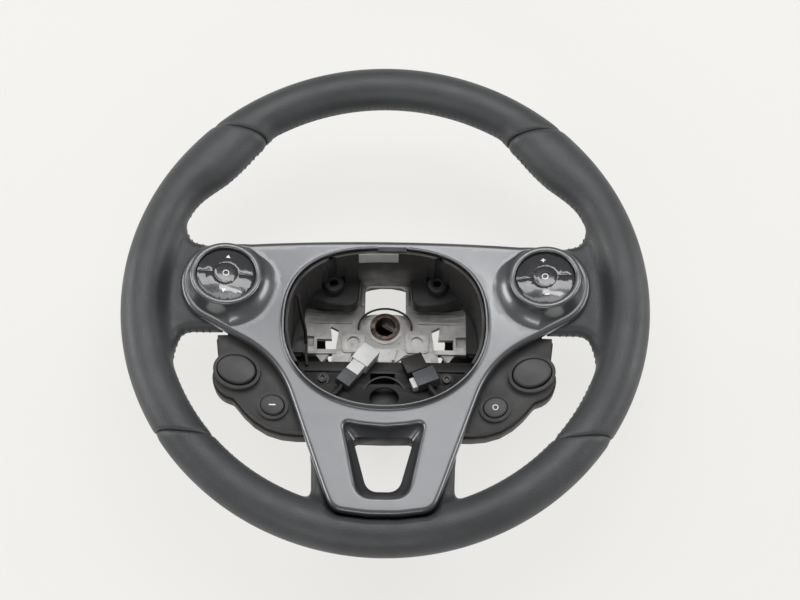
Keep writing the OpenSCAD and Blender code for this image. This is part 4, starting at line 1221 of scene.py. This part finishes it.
def make_rear_cover(material):
    packed = frame["nodes"]["rear_cover"].data
    points = [tuple(v.co / MM) for v in packed.vertices]
    shell = scratch_object("shell", points, [tuple(f.vertices) for f in packed.polygons])
    wide = grown(THROAT, TUNNEL_ROOM)
    foot = wide[:, 1].min()
    drifted = wide.copy()
    drifted[:, 1] = foot + (wide[:, 1] - foot) * (1 + TUNNEL_DRIFT / np.ptp(wide[:, 1]))
    tunnel = Build()
    levels = ((drifted, TABLE_Z - TUNNEL_BELOW), (wide, TUNNEL_TOP))
    tunnel.solid([tunnel.flat_ring(outline, z) for outline, z in levels])
    cutter = scratch_object("cutter", tunnel.points, tunnel.faces)
    add_weld(shell)
    cut = shell.modifiers.new("cut", "BOOLEAN")
    cut.object, cut.operation, cut.solver = cutter, "DIFFERENCE", "EXACT"
    points, faces = result_of(shell, cutter)
    piece = make_piece("rear_shell", points, faces, material)
    soften(piece, EDGE_WIDTHS["rear_cover"])
    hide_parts("rear_cover")


# Cords: the two leads, along the same points as their solids
LEAD_R = 1.8
WHITE_ROUTE = [
    (-30.6, -53.1, 43.4), (-31.8, -56, 44.6), (-34.8, -60.5, 47), (-39, -63, 48.8), (-43.4, -62, 48.4),
    (-45.5, -60.6, 46.4), (-46, -60, 43.4), (-46, -60, 38.5),
]
BLACK_ROUTE = [
    (32.3, -53.1, 44.1), (33.6, -56.2, 45.4), (36.6, -60.6, 47.4), (40.4, -62.8, 48.8), (43.8, -62, 48.4),
    (45.5, -60.6, 46.4), (46, -60, 43.4), (46, -60, 38.5),
]


def make_lead(name, node, route, material):
    curve = bpy.data.curves.new(name, "CURVE")
    curve.dimensions = "3D"
    curve.bevel_depth = LEAD_R * MM
    curve.bevel_resolution = 4
    curve.use_fill_caps = True
    spline = curve.splines.new("POLY")
    spline.points.add(len(route) - 1)
    for point, place in zip(spline.points, route):
        point.co = (*(c * MM for c in place), 1)
    curve.materials.append(material)
    lead = bpy.data.objects.new(name, curve)
    bpy.context.scene.collection.objects.link(lead)
    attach(lead, "wheel")
    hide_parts(node)
    start = tuple(c * MM for c in route[0])


# Stage: a pale table that shows white where the camera sees it directly
TABLE_HALF = 3.0
GLOW = 0.8


def make_stage():
    mesh = bpy.data.meshes.new("table")
    corners = ((-1, -1), (1, -1), (1, 1), (-1, 1))
    points = [(x * TABLE_HALF, y * TABLE_HALF, TABLE_Z * MM) for x, y in corners]
    mesh.from_pydata(points, [], [(0, 1, 2, 3)])
    table = bpy.data.objects.new("table", mesh)
    bpy.context.scene.collection.objects.link(table)
    n = Nodes("table_top")
    n.set(Base_Color=srgb(226, 225, 221), Roughness=0.6)
    glow = n.node("ShaderNodeEmission", {"Color": srgb(243, 242, 239)})
    path = n.node("ShaderNodeLightPath").outputs
    seen = n.math("MAXIMUM", path["Is Camera Ray"], path["Is Glossy Ray"])
    seen = n.math("MULTIPLY", n.math("MAXIMUM", seen, path["Is Transmission Ray"]), GLOW)
    both = n.node("ShaderNodeMixShader", {0: seen, 1: n.shader.outputs[0], 2: glow.outputs[0]})
    n.feed(n.tree.nodes["Material Output"].inputs, {"Surface": both.outputs[0]})
    mesh.materials.append(n.material)


# Lights, each turned to the rim's middle: name, place and size in metres, power in watts
LIGHTS = (
    ("ceiling", (0.0, 0.42, 2.0), (2.2, 0.6), 11),
    ("window_back", (0.0, 1.15, 1.9), (2.4, 0.35), 14),
    ("window_front", (-0.3, -1.75, 1.2), (1.6, 0.35), 9),
    ("window_left", (-1.6, 0.25, 0.65), (1.2, 0.6), 14),
    ("window_right", (1.6, 0.25, 0.65), (1.2, 0.6), 11),
    ("panel_above", (0.1, 0.52, 1.25), (0.36, 0.07), 0.8),
)


def make_lights():
    world = bpy.data.worlds.new("studio")
    bpy.context.scene.world = world
    world.use_nodes = True
    sky = world.node_tree.nodes["Background"].inputs
    sky["Color"].default_value = (0.96, 0.98, 1.0, 1)
    sky["Strength"].default_value = 0.32
    middle = Vector((0, 0, DISH * MM))
    for name, place, size, power in LIGHTS:
        data = bpy.data.lights.new(name, "AREA")
        data.shape = "RECTANGLE"
        data.size, data.size_y = size
        data.energy = power
        light = bpy.data.objects.new(name, data)
        light.location = place
        light.rotation_mode = "QUATERNION"
        light.rotation_quaternion = (middle - Vector(place)).to_track_quat("-Z", "Y")
        bpy.context.scene.collection.objects.link(light)


make_camera()
MATERIALS = make_materials()
dress_nodes(MATERIALS)
make_lead("left_lead", "white_lead", WHITE_ROUTE,
          MATERIALS["black_plastic"])
make_lead("right_lead", "black_lead", BLACK_ROUTE,
          MATERIALS["black_plastic"])
make_top_leather("leather_top", MATERIALS["leather"])
make_bottom_leather("leather_bottom", MATERIALS["leather"])
make_foam(MATERIALS["foam"])
make_side_leather("leather_right", 1, MATERIALS["leather"])
make_side_leather("leather_left", -1, MATERIALS["leather"])
make_stitching(MATERIALS["thread"])
make_bezel(MATERIALS["silver_trim"])
make_marks(MATERIALS["mark"])
make_pads(MATERIALS["black_plastic"])
make_wells(MATERIALS["black_plastic"])
make_rear_cover(MATERIALS["black_plastic"])
make_stage()
make_lights()
bpy.context.scene.view_settings.view_transform = "Standard"
